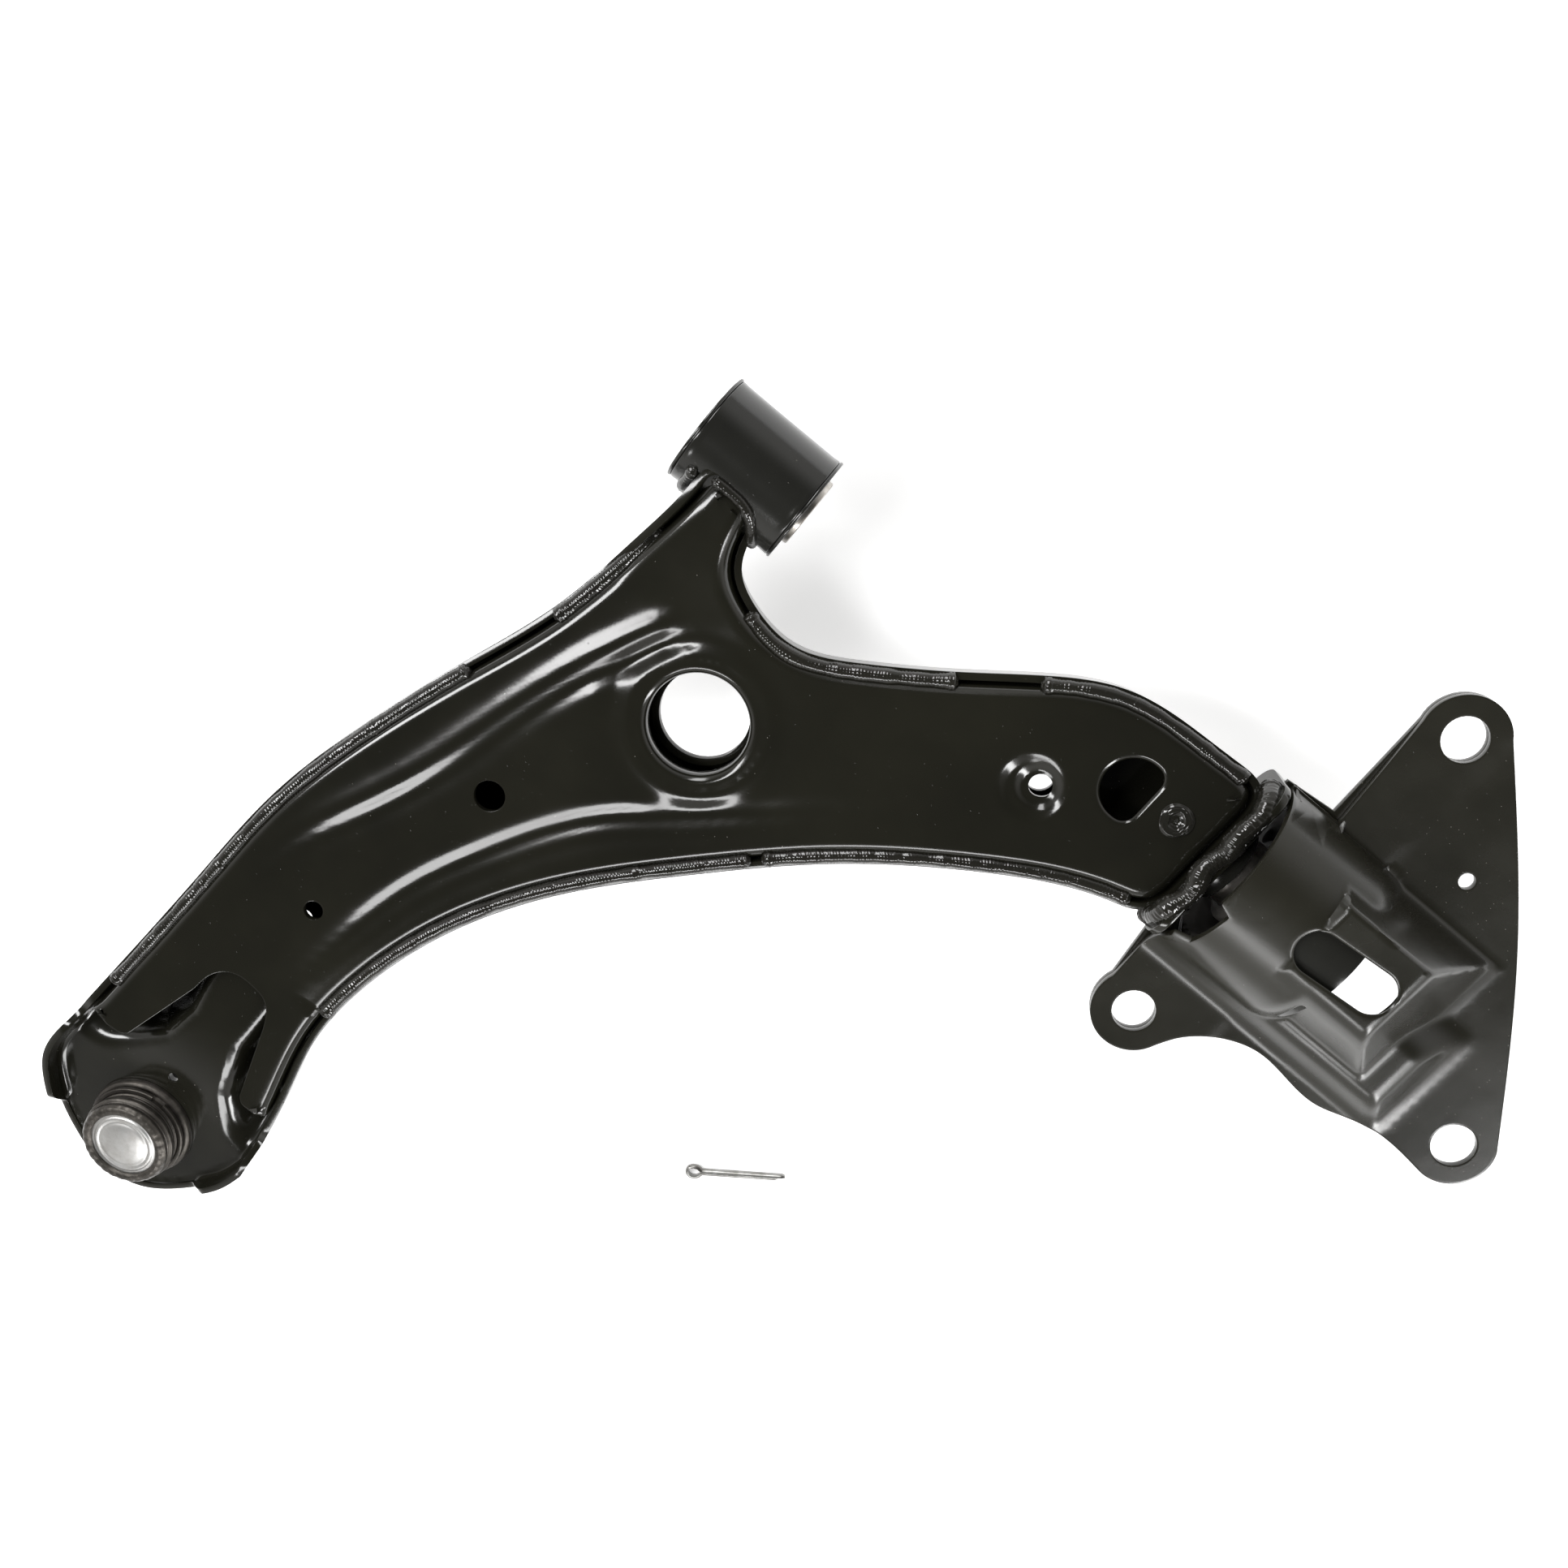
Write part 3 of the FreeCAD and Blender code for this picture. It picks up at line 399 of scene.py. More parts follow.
def dip_paint(name, colour, olive, rough, rough_spread, peel, nib_density, speck, flow=0.05):
    """Black dip coat: dark glossy colour with faint olive clouds, nibs and light dust specks."""
    material = bpy.data.materials.new(name)
    material.use_nodes = True
    tree = material.node_tree
    shader = tree.nodes["Principled BSDF"]
    place = wire(tree, "ShaderNodeTexCoord").outputs["Object"]
    waves = wire(tree, "ShaderNodeGroup", {"Vector": place, "Peel": peel}, node_tree=FLOW)
    nibs = wire(tree, "ShaderNodeGroup", {"Vector": place, "Density": nib_density},
                node_tree=NIBS)
    tone = tinted(tree, waves.outputs["Cloud"], (*colour, 1), (*olive, 1))
    grains = wire(tree, "ShaderNodeTexVoronoi", {"Vector": place, "Scale": 800.0})
    pick = wire(tree, "ShaderNodeSeparateColor", {"Color": grains.outputs["Color"]})
    rare = maths(tree, "LESS_THAN", pick.outputs["Blue"], 0.035 * speck)
    small = maths(tree, "LESS_THAN", grains.outputs["Distance"], 0.11)
    fleck = maths(tree, "MULTIPLY", rare, small)
    tree.links.new(tinted(tree, fleck, tone, (0.2, 0.19, 0.17, 1)), shader.inputs["Base Color"])
    gloss = wire(tree, "ShaderNodeMapRange", {"Value": waves.outputs["Cloud"],
                                              "From Min": 0.3, "From Max": 0.7,
                                              "To Min": rough - rough_spread,
                                              "To Max": rough + rough_spread})
    tree.links.new(gloss.outputs[0], shader.inputs["Roughness"])
    slow = wire(tree, "ShaderNodeBump", {"Height": waves.outputs["Height"],
                                         "Strength": flow, "Distance": 0.0006})
    dots = wire(tree, "ShaderNodeBump", {"Height": nibs.outputs["Height"], "Strength": 0.7,
                                         "Distance": 0.00012, "Normal": slow.outputs[0]})
    tree.links.new(dots.outputs[0], shader.inputs["Normal"])
    shader.inputs["IOR"].default_value = 1.52
    return material


SHELL_PAINT = dip_paint("shell_paint", (0.006, 0.006, 0.0052), (0.013, 0.0125, 0.008),
                        0.14, 0.04, 0.1, 0.35, 0.5, 0.11)

EDGE_STEP = 2.0
leading = [(-EYE_HALF + 8.5, -3), leg(0.06, -11.5), leg(0.11, -12.8), leg(0.22, -17.5),
           leg(0.33, -28.5), leg(0.445, -39.5), leg(0.57, -47), leg(0.69, -47.5),
           leg(0.81, -47.5), leg(0.93, -48)]
tip = [leg(0.93, -48), near_ball(-46, 4), near_ball(-40, -6), near_ball(-31, -15.5),
       near_ball(-20, -23), near_ball(-9, -28.2), near_ball(3, -29.6), near_ball(14, -26.6),
       near_ball(24, -18.6), near_ball(33, -7.5), near_ball(40, 4), near_ball(43, 15)]
trailing = [near_ball(43, 15), leg(0.87, 36), leg(0.772, 26.5), leg(0.674, 26),
            leg(0.565, 35), leg(0.458, 54), beam(0.35, -126), beam(0.53, -88),
            beam(0.732, -56), beam(0.9, -37), beam(1, -31)]
inner = [beam(1, 31), beam(0.865, 29.5), beam(0.703, 25), beam(0.572, 9), beam(0.466, -8),
         beam(0.335, -27), (EYE_HALF + 27, -37), (EYE_HALF + 9, -35), (EYE_HALF - 3, -28),
         (EYE_HALF - 7.5, -16), (EYE_HALF - 9, -3)]
corner_run = straight(trailing[-1], inner[0], EDGE_STEP)
eye_run = straight(inner[-1], leading[0], EDGE_STEP)
trailing_run, corner_run = eased_corner(through(trailing, EDGE_STEP), corner_run, 14)
corner_run, inner_run = eased_corner(corner_run, through(inner, EDGE_STEP), 14)
inner_run, eye_run = eased_corner(inner_run, eye_run, 9)
eye_run, leading_run = eased_corner(eye_run, through(leading, EDGE_STEP), 9)
ARM_OUTLINE = closed([leading_run, through(tip, 1.2), trailing_run, corner_run, inner_run,
                      eye_run])


def pad_underside(y):
    """The ball joint pad, square to the leaning stud, and the lips' foot."""
    return BALL[2] + (y - BALL[1]) * math.tan(BALL_LEAN) - 1.0 / math.cos(BALL_LEAN) - SHEET


TONGUE = evenly(np.array([near_ball(*p) for p in (
    (-12, 92), (-11, 76), (-8, 60), (-11, 43), (-22, 27), (-34, 9), (-41, -6), (-30, -40),
    (30, -40), (46, -8), (36, 12), (26.8, 20), (16.5, 36), (10, 59), (10.5, 83), (10.5, 92),
    (-12, 92))], float), 1.0)[:-1]
tongue_tree = kdtree.KDTree(len(TONGUE))
for i, spot in enumerate(TONGUE):
    tongue_tree.insert((*spot, 0), i)
tongue_tree.balance()


def pan_floor(x, y):
    """Underside of the pan: flat, rising to the pad, with a broad tongue up to the cover."""
    x, y = np.asarray(x, float), np.asarray(y, float)
    pad = pad_underside(y)
    ground = pad + (FLOOR_UNDERSIDE - pad) * smooth(y, -338, -312)
    away = np.array([tongue_tree.find((a, b, 0))[2] for a, b in zip(x, y)])
    away = np.where(inside(np.column_stack([x, y]), TONGUE), 0.0, away)
    flank = 1 - smooth(away, 0, 10)
    crest = pad + (5.6 - pad) * smooth(y, -334, -284)
    crest = crest + (FLOOR_UNDERSIDE - crest) * smooth(y, -266, -246)
    return ground + (crest - ground) * flank


def circle(x, y, radius, step=1.6):
    count = max(24, int(2 * math.pi * radius / step))
    a = np.linspace(0, 2 * math.pi, count, endpoint=False)
    return np.column_stack([x + radius * np.cos(a), y + radius * np.sin(a)])


def plain_hole(x, y, radius, height, margin=0.8):
    """Rings of a hole punched through the sheet."""
    edge, centre = circle(x, y, radius), np.array([x, y])
    rings = [edge, centre + (edge - centre) * (radius + margin) / radius]
    return [at_height(ring, height(*ring.T)) for ring in rings]


def edge_rings(loop, height, steps):
    """Rings beside a free edge, each with its distance from the edge and how far it is drawn
    down there."""
    rings = [inset(loop, distance) for distance, _ in steps]
    return [at_height(ring, height(*ring.T) - drop) for ring, (_, drop) in zip(rings, steps)]


def pan_walls():
    """Rings from the wall's top edge down and round into the floor."""
    x, y = ARM_OUTLINE[:, 0], ARM_OUTLINE[:, 1]
    foot = pan_floor(*inset(ARM_OUTLINE, 6).T)
    at_tip = smooth(-y, 318, 332)
    full = WALL_TOP - FLOOR_UNDERSIDE
    lip = np.maximum(smooth(np.abs(x - BALL[0]), 31, 36), smooth(y, -352, -346))
    top = foot + SHEET + 7.5 * lip + 0.15
    by_eye = 9.3 * smooth(y, -62, -14) * (1 - smooth(x, -6, 4))
    top = top * at_tip + (WALL_TOP + by_eye) * (1 - at_tip)
    tall = top - foot
    bend = np.minimum(FLOOR_BEND_R, 0.7 * tall)
    rings = []
    for share in (0, 0.2, 0.4, 0.6, 0.8, 1):
        z = top - (tall - bend) * share
        rings.append(at_height(inset(ARM_OUTLINE, WALL_DRAFT * (top - z) / full), z))
    lean = WALL_DRAFT * (tall - bend) / full
    for degrees in (15, 30, 45, 60, 75, 90):
        a = math.radians(degrees)
        rings.append(at_height(inset(ARM_OUTLINE, lean + bend * (1 - math.cos(a))),
                               foot + bend * (1 - math.sin(a))))
    last = inset(ARM_OUTLINE, lean + bend + 1.2)
    rings.append(at_height(last, foot))
    return rings


def turned_hole(x, y, edge_r, edge_z, flat_z, bend, step=1.6):
    """Rings of a flange turned out of the sheet round a hole."""
    sign = 1 if edge_z < flat_z else -1
    rings = [at_height(circle(x, y, edge_r, step), edge_z)]
    count = len(rings[0])
    a = np.linspace(0, 2 * math.pi, count, endpoint=False)
    spots = [(edge_r, (edge_z + flat_z) / 2)]
    for degrees in (0, 18, 36, 54, 72, 90):
        t = math.radians(degrees)
        spots.append((edge_r + bend * (1 - math.cos(t)), flat_z - sign * bend * (1 - math.sin(t))))
    spots.append((edge_r + bend + 1.2, flat_z))
    for radius, z in spots:
        rings.append(np.column_stack([x + radius * np.cos(a), y + radius * np.sin(a),
                                      np.full(count, z)]))
    return rings


LIGHTENING = (40.0, -80.0)
PEEP = near_ball(-1.5, 29)
pan_stacks = [pan_walls(), plain_hole(BALL[0], BALL[1], 18.6, pan_floor),
              plain_hole(*PEEP, 2.0, pan_floor, 0.6),
              turned_hole(*LIGHTENING, 16.6, FLOOR_UNDERSIDE + 6.5, FLOOR_UNDERSIDE, 3.0),
              plain_hole(*beam(0.708, -20.5), 5.5, pan_floor),
              plain_hole(*leg(0.69, -9.2), 3.7, pan_floor)]
pan_points = np.concatenate([honeycomb((-90, -400), (230, -235), 1.7),
                             honeycomb((-90, -235), (230, 60), 3.0)])
lower_shell = piece("lower_shell_pan", sheet_mesh("lower_shell_pan", pan_stacks, pan_floor,
                                                  pan_points, 0.8, up=False))
thicken(lower_shell, SHEET, 0.35)
eye_room = cylinder_cutter(EYE_R - 0.1, -EYE_HALF - 12, EYE_HALF + 12)
carve(lower_shell, eye_room)
settle(lower_shell, SHELL_PAINT)
put(lower_shell, "arm", "arm_paint", "lower_shell")

# ---- cover ---------------------------------------------------------------------------------
# The upper half of the arm: 2.6 mm sheet whose edge is turned down inside the pan's wall. It
# is stiffened by two creases along the leg and a step along the trailing edge, has a flanged
# lightening hole, a deep locating dish, and a mouth cut round the ball joint's tongue.
COVER_TOP = 12.0
COVER_EDGE = 3.8
SKIRT_DEPTH = 7.0
SHOULDER_R = 4.5


def beside(x, y, path, step=2.0):
    """Signed distance to the left of a smooth path, and the share of the way along it."""
    line = through(path, step)
    ahead = np.gradient(line, axis=0)
    ahead /= np.linalg.norm(ahead, axis=1)[:, None]
    tree = kdtree.KDTree(len(line))
    for i, p in enumerate(line):
        tree.insert((p[0], p[1], 0), i)
    tree.balance()
    near = np.array([tree.find((a, b, 0))[1] for a, b in zip(np.ravel(x), np.ravel(y))])
    dx, dy = np.ravel(x) - line[near, 0], np.ravel(y) - line[near, 1]
    off = ahead[near, 0] * dy - ahead[near, 1] * dx
    end_on = ahead[near, 0] * dx + ahead[near, 1] * dy
    past = np.where((near == 0) | (near == len(line) - 1), np.abs(end_on), 0)
    return off, near / (len(line) - 1), past


UPPER_CREASE = [(-56, -240), (-47, -205), (-31, -166), (-17, -124), (-4, -87), (14, -50)]
LOWER_CREASE = [(-48, -236), (-38, -200), (-23, -160), (-10, -126), (2, -96), (12, -74)]
STEP_LINE = [(-14, -262), (-11, -237), (-2, -196), (10, -169), (34, -131), (62, -105),
             (100, -70), (128, -54)]
DATUM = (144.6, -19.6)
PLUG = beam(0.907, 1.6)


def bump(value, width):
    return np.exp(-(value / width) ** 2)


def cover_face(x, y):
    """Outer face of the cover."""
    x, y = np.asarray(x, float), np.asarray(y, float)
    z = np.full(x.shape, COVER_TOP) + 6.0 * smooth(y, -60, -16) * (1 - smooth(x, 24, 44))
    # the two creases along the leg and the step beside the trailing edge
    off, share, past = beside(x, y, UPPER_CREASE)
    fade = smooth(share, 0, 0.3) * (1 - smooth(share, 0.93, 1)) * bump(past, 8)
    z += 1.3 * bump(off, 5) * fade - 1.8 * bump(off + 6.8, 5) * fade
    off, share, past = beside(x, y, LOWER_CREASE)
    fade = smooth(share, 0, 0.3) * (1 - smooth(share, 0.86, 1)) * bump(past, 8)
    z += 1.1 * bump(off, 5) * fade
    off, share, past = beside(x, y, STEP_LINE)
    fade = smooth(share, 0, 0.18) * (1 - smooth(share, 0.6, 0.98)) * bump(past, 9)
    z -= 1.9 * bump(off, 4.8) * fade
    z -= 1.6 * smooth(-off, 0, 14) * (1 - smooth(share, 0.55, 1)) * (share > 0)
    # the bead round the lightening hole, the locating dish and the plug weld's dimple
    r = np.hypot(x - LIGHTENING[0], y - LIGHTENING[1])
    z += 0.55 * bump(r - 25.5, 3) - 0.35 * bump(r - 31, 4)
    r = np.hypot(x - DATUM[0] + 2.4, y - DATUM[1] + 1.9)
    z -= 1.5 * (1 - smooth(r, 7.6, 13.4))
    r = np.hypot(x - DATUM[0] + 0.8, y - DATUM[1] + 0.6)
    z -= 1.6 * (1 - smooth(r, 4.8, 9.0))
    r = np.hypot(x - PLUG[0], y - PLUG[1])
    z -= 0.8 * bump(r, 9)
    return z


def cover_outline():
    """The cover's edge, the parts that are turned down, and its mouth."""
    edge = inset(ARM_OUTLINE, COVER_EDGE)
    corners = np.array([near_ball(*p) for p in (
        (-33, 35.3), (-27, 35.8), (-24.5, 37.5), (-14.8, 71), (-12.5, 81), (-6.5, 86.5),
        (2, 87), (8, 85.5), (13.3, 79), (16, 71), (23.6, 45.2), (26, 43), (32, 43))])
    index = np.arange(len(edge))
    stop_left = index[(edge[:, 0] < BALL[0]) & (edge[:, 1] > BALL[1] + 36)].max()
    right = (edge[:, 0] > BALL[0]) & (edge[:, 1] > BALL[1] + 43) & (index > stop_left)
    start_right = index[right].min()
    mouth = evenly(np.concatenate([corners[:3], evenly(corners[2:4], 1.2)[1:-1],
                                   through(corners[3:10], 1.2), evenly(corners[9:11], 1.2)[1:],
                                   corners[11:]]), 1.6)
    loop = np.concatenate([edge[start_right:], edge[:stop_left + 1], mouth])
    turned = np.concatenate([np.ones(len(edge) - start_right + stop_left + 1),
                             np.zeros(len(mouth))])
    for _ in range(2):
        turned = np.minimum(turned, (np.roll(turned, 1) + turned + np.roll(turned, -1)) / 3)
    return loop, np.clip(turned, 0.12, 1)


def cover_rings():
    """Rings up the skirt and round the shoulder on to the face."""
    loop, turned = cover_outline()
    top = cover_face(*inset(loop, SHOULDER_R + 1).T)
    rings = []
    for drop in (SKIRT_DEPTH, 5.6):
        rings.append(at_height(inset(loop, 0.25 * (SKIRT_DEPTH - drop) * turned),
                               top - drop * turned ** 2))
    for degrees in (0, 15, 30, 45, 60, 75, 90):
        a = math.radians(degrees)
        rings.append(at_height(inset(loop, (0.4 + SHOULDER_R * (1 - math.cos(a))) * turned),
                               top - SHOULDER_R * (1 - math.sin(a)) * turned ** 2))
    ring = inset(loop, (0.4 + SHOULDER_R + 1.2) * turned)
    rings.append(at_height(ring, cover_face(*ring.T)))
    return rings


def window_rings():
    """The window before the end plate: round towards the leg, square-cornered behind."""
    left, half, corner = beam(0.763, 0)[0], 11.5, 5.0
    right = left + 18.0
    a = np.radians(np.linspace(90, 270, 30))
    loop = [np.column_stack([left + half + half * np.cos(a), half * np.sin(a)])]
    for y, start in ((-half + corner, 270), (half - corner, 0)):
        b = np.radians(np.linspace(start, start + 90, 9))
        loop.append(np.column_stack([right - corner + corner * np.cos(b), y + corner * np.sin(b)]))
    loop = evenly(np.concatenate(loop + [loop[0][:1]]), 1.3)[:-1]
    return edge_rings(loop, cover_face, ((0, 0.9), (-0.7, 0.25), (-1.6, 0)))


cover_stacks = [cover_rings(), turned_hole(*LIGHTENING, 18.2, 5.0, COVER_TOP, 3.2, 1.2),
                plain_hole(*DATUM, 4.2, cover_face), window_rings(),
                plain_hole(*leg(0.4185, 10.7), 5.8, cover_face),
                plain_hole(*leg(0.641, -7.5), 3.7, cover_face)]
cover_points = honeycomb((-90, -330), (230, 60), 1.7)
close = np.hypot(cover_points[:, 0] - DATUM[0], cover_points[:, 1] - DATUM[1]) < 15
fine = honeycomb((DATUM[0] - 16, DATUM[1] - 16), (DATUM[0] + 16, DATUM[1] + 16), 0.95)
fine = fine[np.hypot(fine[:, 0] - DATUM[0], fine[:, 1] - DATUM[1]) < 14.5]
cover_points = np.concatenate([cover_points[~close], fine])
upper_shell = piece("upper_shell_cover", sheet_mesh(
    "upper_shell_cover", cover_stacks, cover_face, cover_points, 0.9))
thicken(upper_shell, SHEET, 0.3)
carve(upper_shell, eye_room)
settle(upper_shell, SHELL_PAINT)
put(upper_shell, "arm", "arm_paint", "upper_shell")
bpy.data.objects.remove(eye_room)

# ---- bracket -------------------------------------------------------------------------------
# The bolt-on bracket behind the arm: one 2.6 mm pressing with three bolt lobes, a half-round
# collar over the rear bush and a slotted hood behind it. The strap below closes round the
# bush; both are dip-coated in semi-gloss black.
REAR_X = 220.0
COLLAR_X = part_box("bracket_upper")[0].x / MM
COLLAR_R = 34.6
HOOD_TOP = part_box("bracket_upper")[1].z / MM
LOBE_R = 15.6
LOBES = {"upper": (22.8, 84.0, 8.2), "outer": (127.9, -25.5, 8.2), "ear": (7.2, -62.2, 7.9)}
BRACKET_PAINT = dip_paint("bracket_paint", (0.008, 0.008, 0.0062), (0.017, 0.016, 0.0105),
                          0.26, 0.06, 0.12, 0.35, 0.7, 0.14)


def behind(x, y):
    return REAR_X + x, y


def on_lobe(name, degrees):
    x, y, _ = LOBES[name]
    a = math.radians(degrees)
    return behind(x + LOBE_R * math.cos(a), y + LOBE_R * math.sin(a))


def lobe_arc(name, start, end):
    return np.array([on_lobe(name, d) for d in np.linspace(start, end, 28)])


def either(a, b, blend):
    """Soft maximum of two heights."""
    h = np.clip(0.5 + 0.5 * (a - b) / blend, 0, 1)
    return b + (a - b) * h + blend * h * (1 - h)


def both(a, b, blend):
    return -either(-a, -b, blend)


def bracket_face(x, y):
    """Outer face of the bracket: plate, collar, hood and the low bump behind it."""
    x, y = np.asarray(x, float), np.asarray(y, float)
    round_top = np.sqrt(np.maximum(COLLAR_R ** 2 - y ** 2, 0.0))
    collar = round_top - 60 * smooth(x, 252, 300)
    hood = np.full(x.shape, HOOD_TOP)
    hood = both(hood, HOOD_TOP - (y - 20) * 2.6, 1.6)
    hood = both(hood, HOOD_TOP + (y + 12) * 1.55, 8)
    hood = both(hood, HOOD_TOP - (x - 279.5) * 1.12, 2.6)
    hood = both(hood, HOOD_TOP + (x - 243) * 5.0, 1.4)
    bump_top = np.full(x.shape, 12.5)
    bump_top = both(bump_top, 12.5 - (x - 311) * 1.0, 4)
    bump_top = both(bump_top, 12.5 + (y + 31) * 1.1, 4)
    bump_top = both(bump_top, 12.5 - (y + 6) * 0.9, 4)
    z = either(collar, hood, 1.6)
    z = either(z, bump_top, 2.5)
    return np.minimum(either(z, np.full(x.shape, SHEET), 5), HOOD_TOP)


def bracket_outline():
    neck = COLLAR_R + 1.2
    middle = (np.array(on_lobe("outer", 30)) + np.array(on_lobe("upper", 40))) / 2 + (3, 3)
    notch = [(COLLAR_X, neck), (COLLAR_X, -7), (COLLAR_X + 5.2, -9), (COLLAR_X + 5.2, -26),
             (COLLAR_X, -28.5), (COLLAR_X, -neck)]
    runs = [straight(on_lobe("upper", 195), behind(12, neck), 1.6),
            straight(behind(12, neck), notch[0], 1.2)]
    for start, end in zip(notch, notch[1:]):
        line = straight(start, end, 0.25)
        rise = np.column_stack([line, bracket_face(line[:, 0], line[:, 1])])
        runs.append(evenly(rise, 1.2)[:, :2])
    runs.append(straight(notch[-1], on_lobe("ear", 160), 1.6))
    runs.append(lobe_arc("ear", 160, 340))
    runs.append(through([on_lobe("ear", 340), behind(26, -60), behind(38, -49.5),
                         behind(51, -45), behind(80, -46.5), behind(98, -41),
                         on_lobe("outer", 262)], 1.6))
    runs.append(lobe_arc("outer", -98, 30))
    runs.append(through([on_lobe("outer", 30), middle, on_lobe("upper", 40)], 2.0))
    runs.append(lobe_arc("upper", 40, 195))
    return closed(runs)


def bracket_points():
    """Points set by the height's own slope, so that steep flanks are as finely netted."""
    flat = honeycomb((200, -85), (360, 105), 2.6)
    spots = [flat[bracket_face(*flat.T) <= SHEET + 0.05]]
    for x in np.arange(226.6, 332, 1.25):
        y = np.arange(-46, 44, 0.2)
        z = bracket_face(np.full(y.shape, x), y)
        line = evenly(np.column_stack([y, z]), 1.3)
        steep = line[:, 1] > SHEET + 0.05
        spots.append(np.column_stack([np.full(steep.sum(), x), line[steep, 0]]))
    return np.concatenate(spots)


def slot_rings():
    """The long slot in the hood's roof."""
    start, end, r = np.array((247.0, 1.0)), np.array((270.0, 3.0)), 8.0
    aim = math.atan2(*(end - start)[::-1])
    loop = []
    for centre, turn in ((end, -90), (start, 90)):
        a = aim + np.radians(np.linspace(turn, turn + 180, 20))
        loop.append(centre + r * np.column_stack([np.cos(a), np.sin(a)]))
    loop = evenly(np.concatenate(loop + [loop[0][:1]]), 1.2)[:-1]
    return edge_rings(loop, bracket_face, ((0, 0.5), (-0.6, 0.1), (-1.4, 0)))


bracket_stacks = [edge_rings(bracket_outline(), bracket_face, ((0, 0), (0.8, 0), (1.8, 0))),
                  slot_rings()]
for x, y, radius in LOBES.values():
    bracket_stacks.append(plain_hole(*behind(x, y), radius, bracket_face))
bracket_stacks.append(plain_hole(*behind(59.4, 48.7), 3.0, bracket_face))
bracket = piece("bracket_pressing", sheet_mesh("bracket_pressing", bracket_stacks, bracket_face,
                                               bracket_points(), 0.7))
thicken(bracket, SHEET, 0.4)
settle(bracket, BRACKET_PAINT)
put(bracket, "bracket", "bracket_paint", "bracket_upper")

# ---- bracket strap -------------------------------------------------------------------------
# The strap under the bracket: the same sheet and coat, a half-round collar with two flanges
# that double the upper and the ear lobes, spot-welded to the bracket above.
SPOTS = [behind(16, 47), behind(30, 60), behind(14, -45)]


def strap_face(x, y):
    """Outer, lower face of the strap."""
    y = np.asarray(y, float)
    collar = np.sqrt(np.maximum(COLLAR_R ** 2 - y ** 2, 0.0))
    weld = sum(0.35 * bump(np.hypot(x - sx, y - sy), 2.2) for sx, sy in SPOTS)
    return -either(collar, np.full(y.shape, SHEET), 2.0) + weld


strap_back = COLLAR_X - 2 + 33.5
strap_outline = closed([
    straight(on_lobe("upper", 195), behind(9, COLLAR_R + 3), 1.6),
    straight(behind(9, COLLAR_R + 3), (COLLAR_X - 2, COLLAR_R + 1), 1.3),
    straight((COLLAR_X - 2, COLLAR_R + 1), (COLLAR_X - 2, -COLLAR_R - 1), 0.5),
    straight((COLLAR_X - 2, -COLLAR_R - 1), on_lobe("ear", 160), 1.6),
    lobe_arc("ear", 160, 350),
    straight(on_lobe("ear", 350), (strap_back, -COLLAR_R - 2), 1.6),
    straight((strap_back, -COLLAR_R - 2), (strap_back, COLLAR_R + 2), 0.5),
    straight((strap_back, COLLAR_R + 2), on_lobe("upper", 0), 1.6),
    lobe_arc("upper", 0, 195)])
strap_stacks = [edge_rings(strap_outline, strap_face, ((0, 0), (0.7, 0)))]
for name in ("upper", "ear"):
    x, y, radius = LOBES[name]
    strap_stacks.append(plain_hole(*behind(x, y), radius, strap_face))
flat = honeycomb((200, -85), (300, 105), 2.6)
strap_points = [flat[np.abs(flat[:, 1]) > COLLAR_R + 1]]
for x in np.arange(COLLAR_X - 1, strap_back, 1.3):
    y = np.arange(-COLLAR_R - 1, COLLAR_R + 1, 0.1)
    run = evenly(np.column_stack([y, strap_face(np.full(y.shape, x), y)]), 1.3)
    strap_points.append(np.column_stack([np.full(len(run), x), run[:, 0]]))
strap = piece("bracket_strap", sheet_mesh("bracket_strap", strap_stacks, strap_face,
                                          np.concatenate(strap_points), 0.6, up=False))
thicken(strap, SHEET, 0.4)
settle(strap, BRACKET_PAINT)
put(strap, "bracket", "bracket_paint", "bracket_lower")

# ---- front bush ----------------------------------------------------------------------------
# A drawn steel eye welded into the mouth of the shells. A flanged outer sleeve is pressed into
# it, with moulded rubber bonded between that and a serrated inner sleeve.
AXLE = Matrix.Rotation(math.pi / 2, 4, "Y")


def eased(profile, reach, steps=3):
    """A closed outline of (radius, height) with its corners rounded off."""
    p = np.array(profile, float)
    made = []
    for a, b, c in zip(np.roll(p, 1, 0), p, np.roll(p, -1, 0)):
        near, far = np.linalg.norm(b - a), np.linalg.norm(c - b)
        if b[0] == 0 or near == 0 or far == 0:
            made.append(b)
            continue
        start = b + (a - b) / near * min(reach, 0.45 * near)
        end = b + (c - b) / far * min(reach, 0.45 * far)
        for t in np.linspace(0, 1, steps + 1):
            made.append((1 - t) ** 2 * start + 2 * t * (1 - t) * b + t ** 2 * end)
    return np.array(made)


def finer(profile, step):
    """A closed outline with points added along its longer edges."""
    made = []
    for a, b in zip(profile, np.roll(profile, -1, 0)):
        count = max(1, int(np.linalg.norm(b - a) / step))
        made += [a + (b - a) * i / count for i in range(count)]
    return np.array(made)


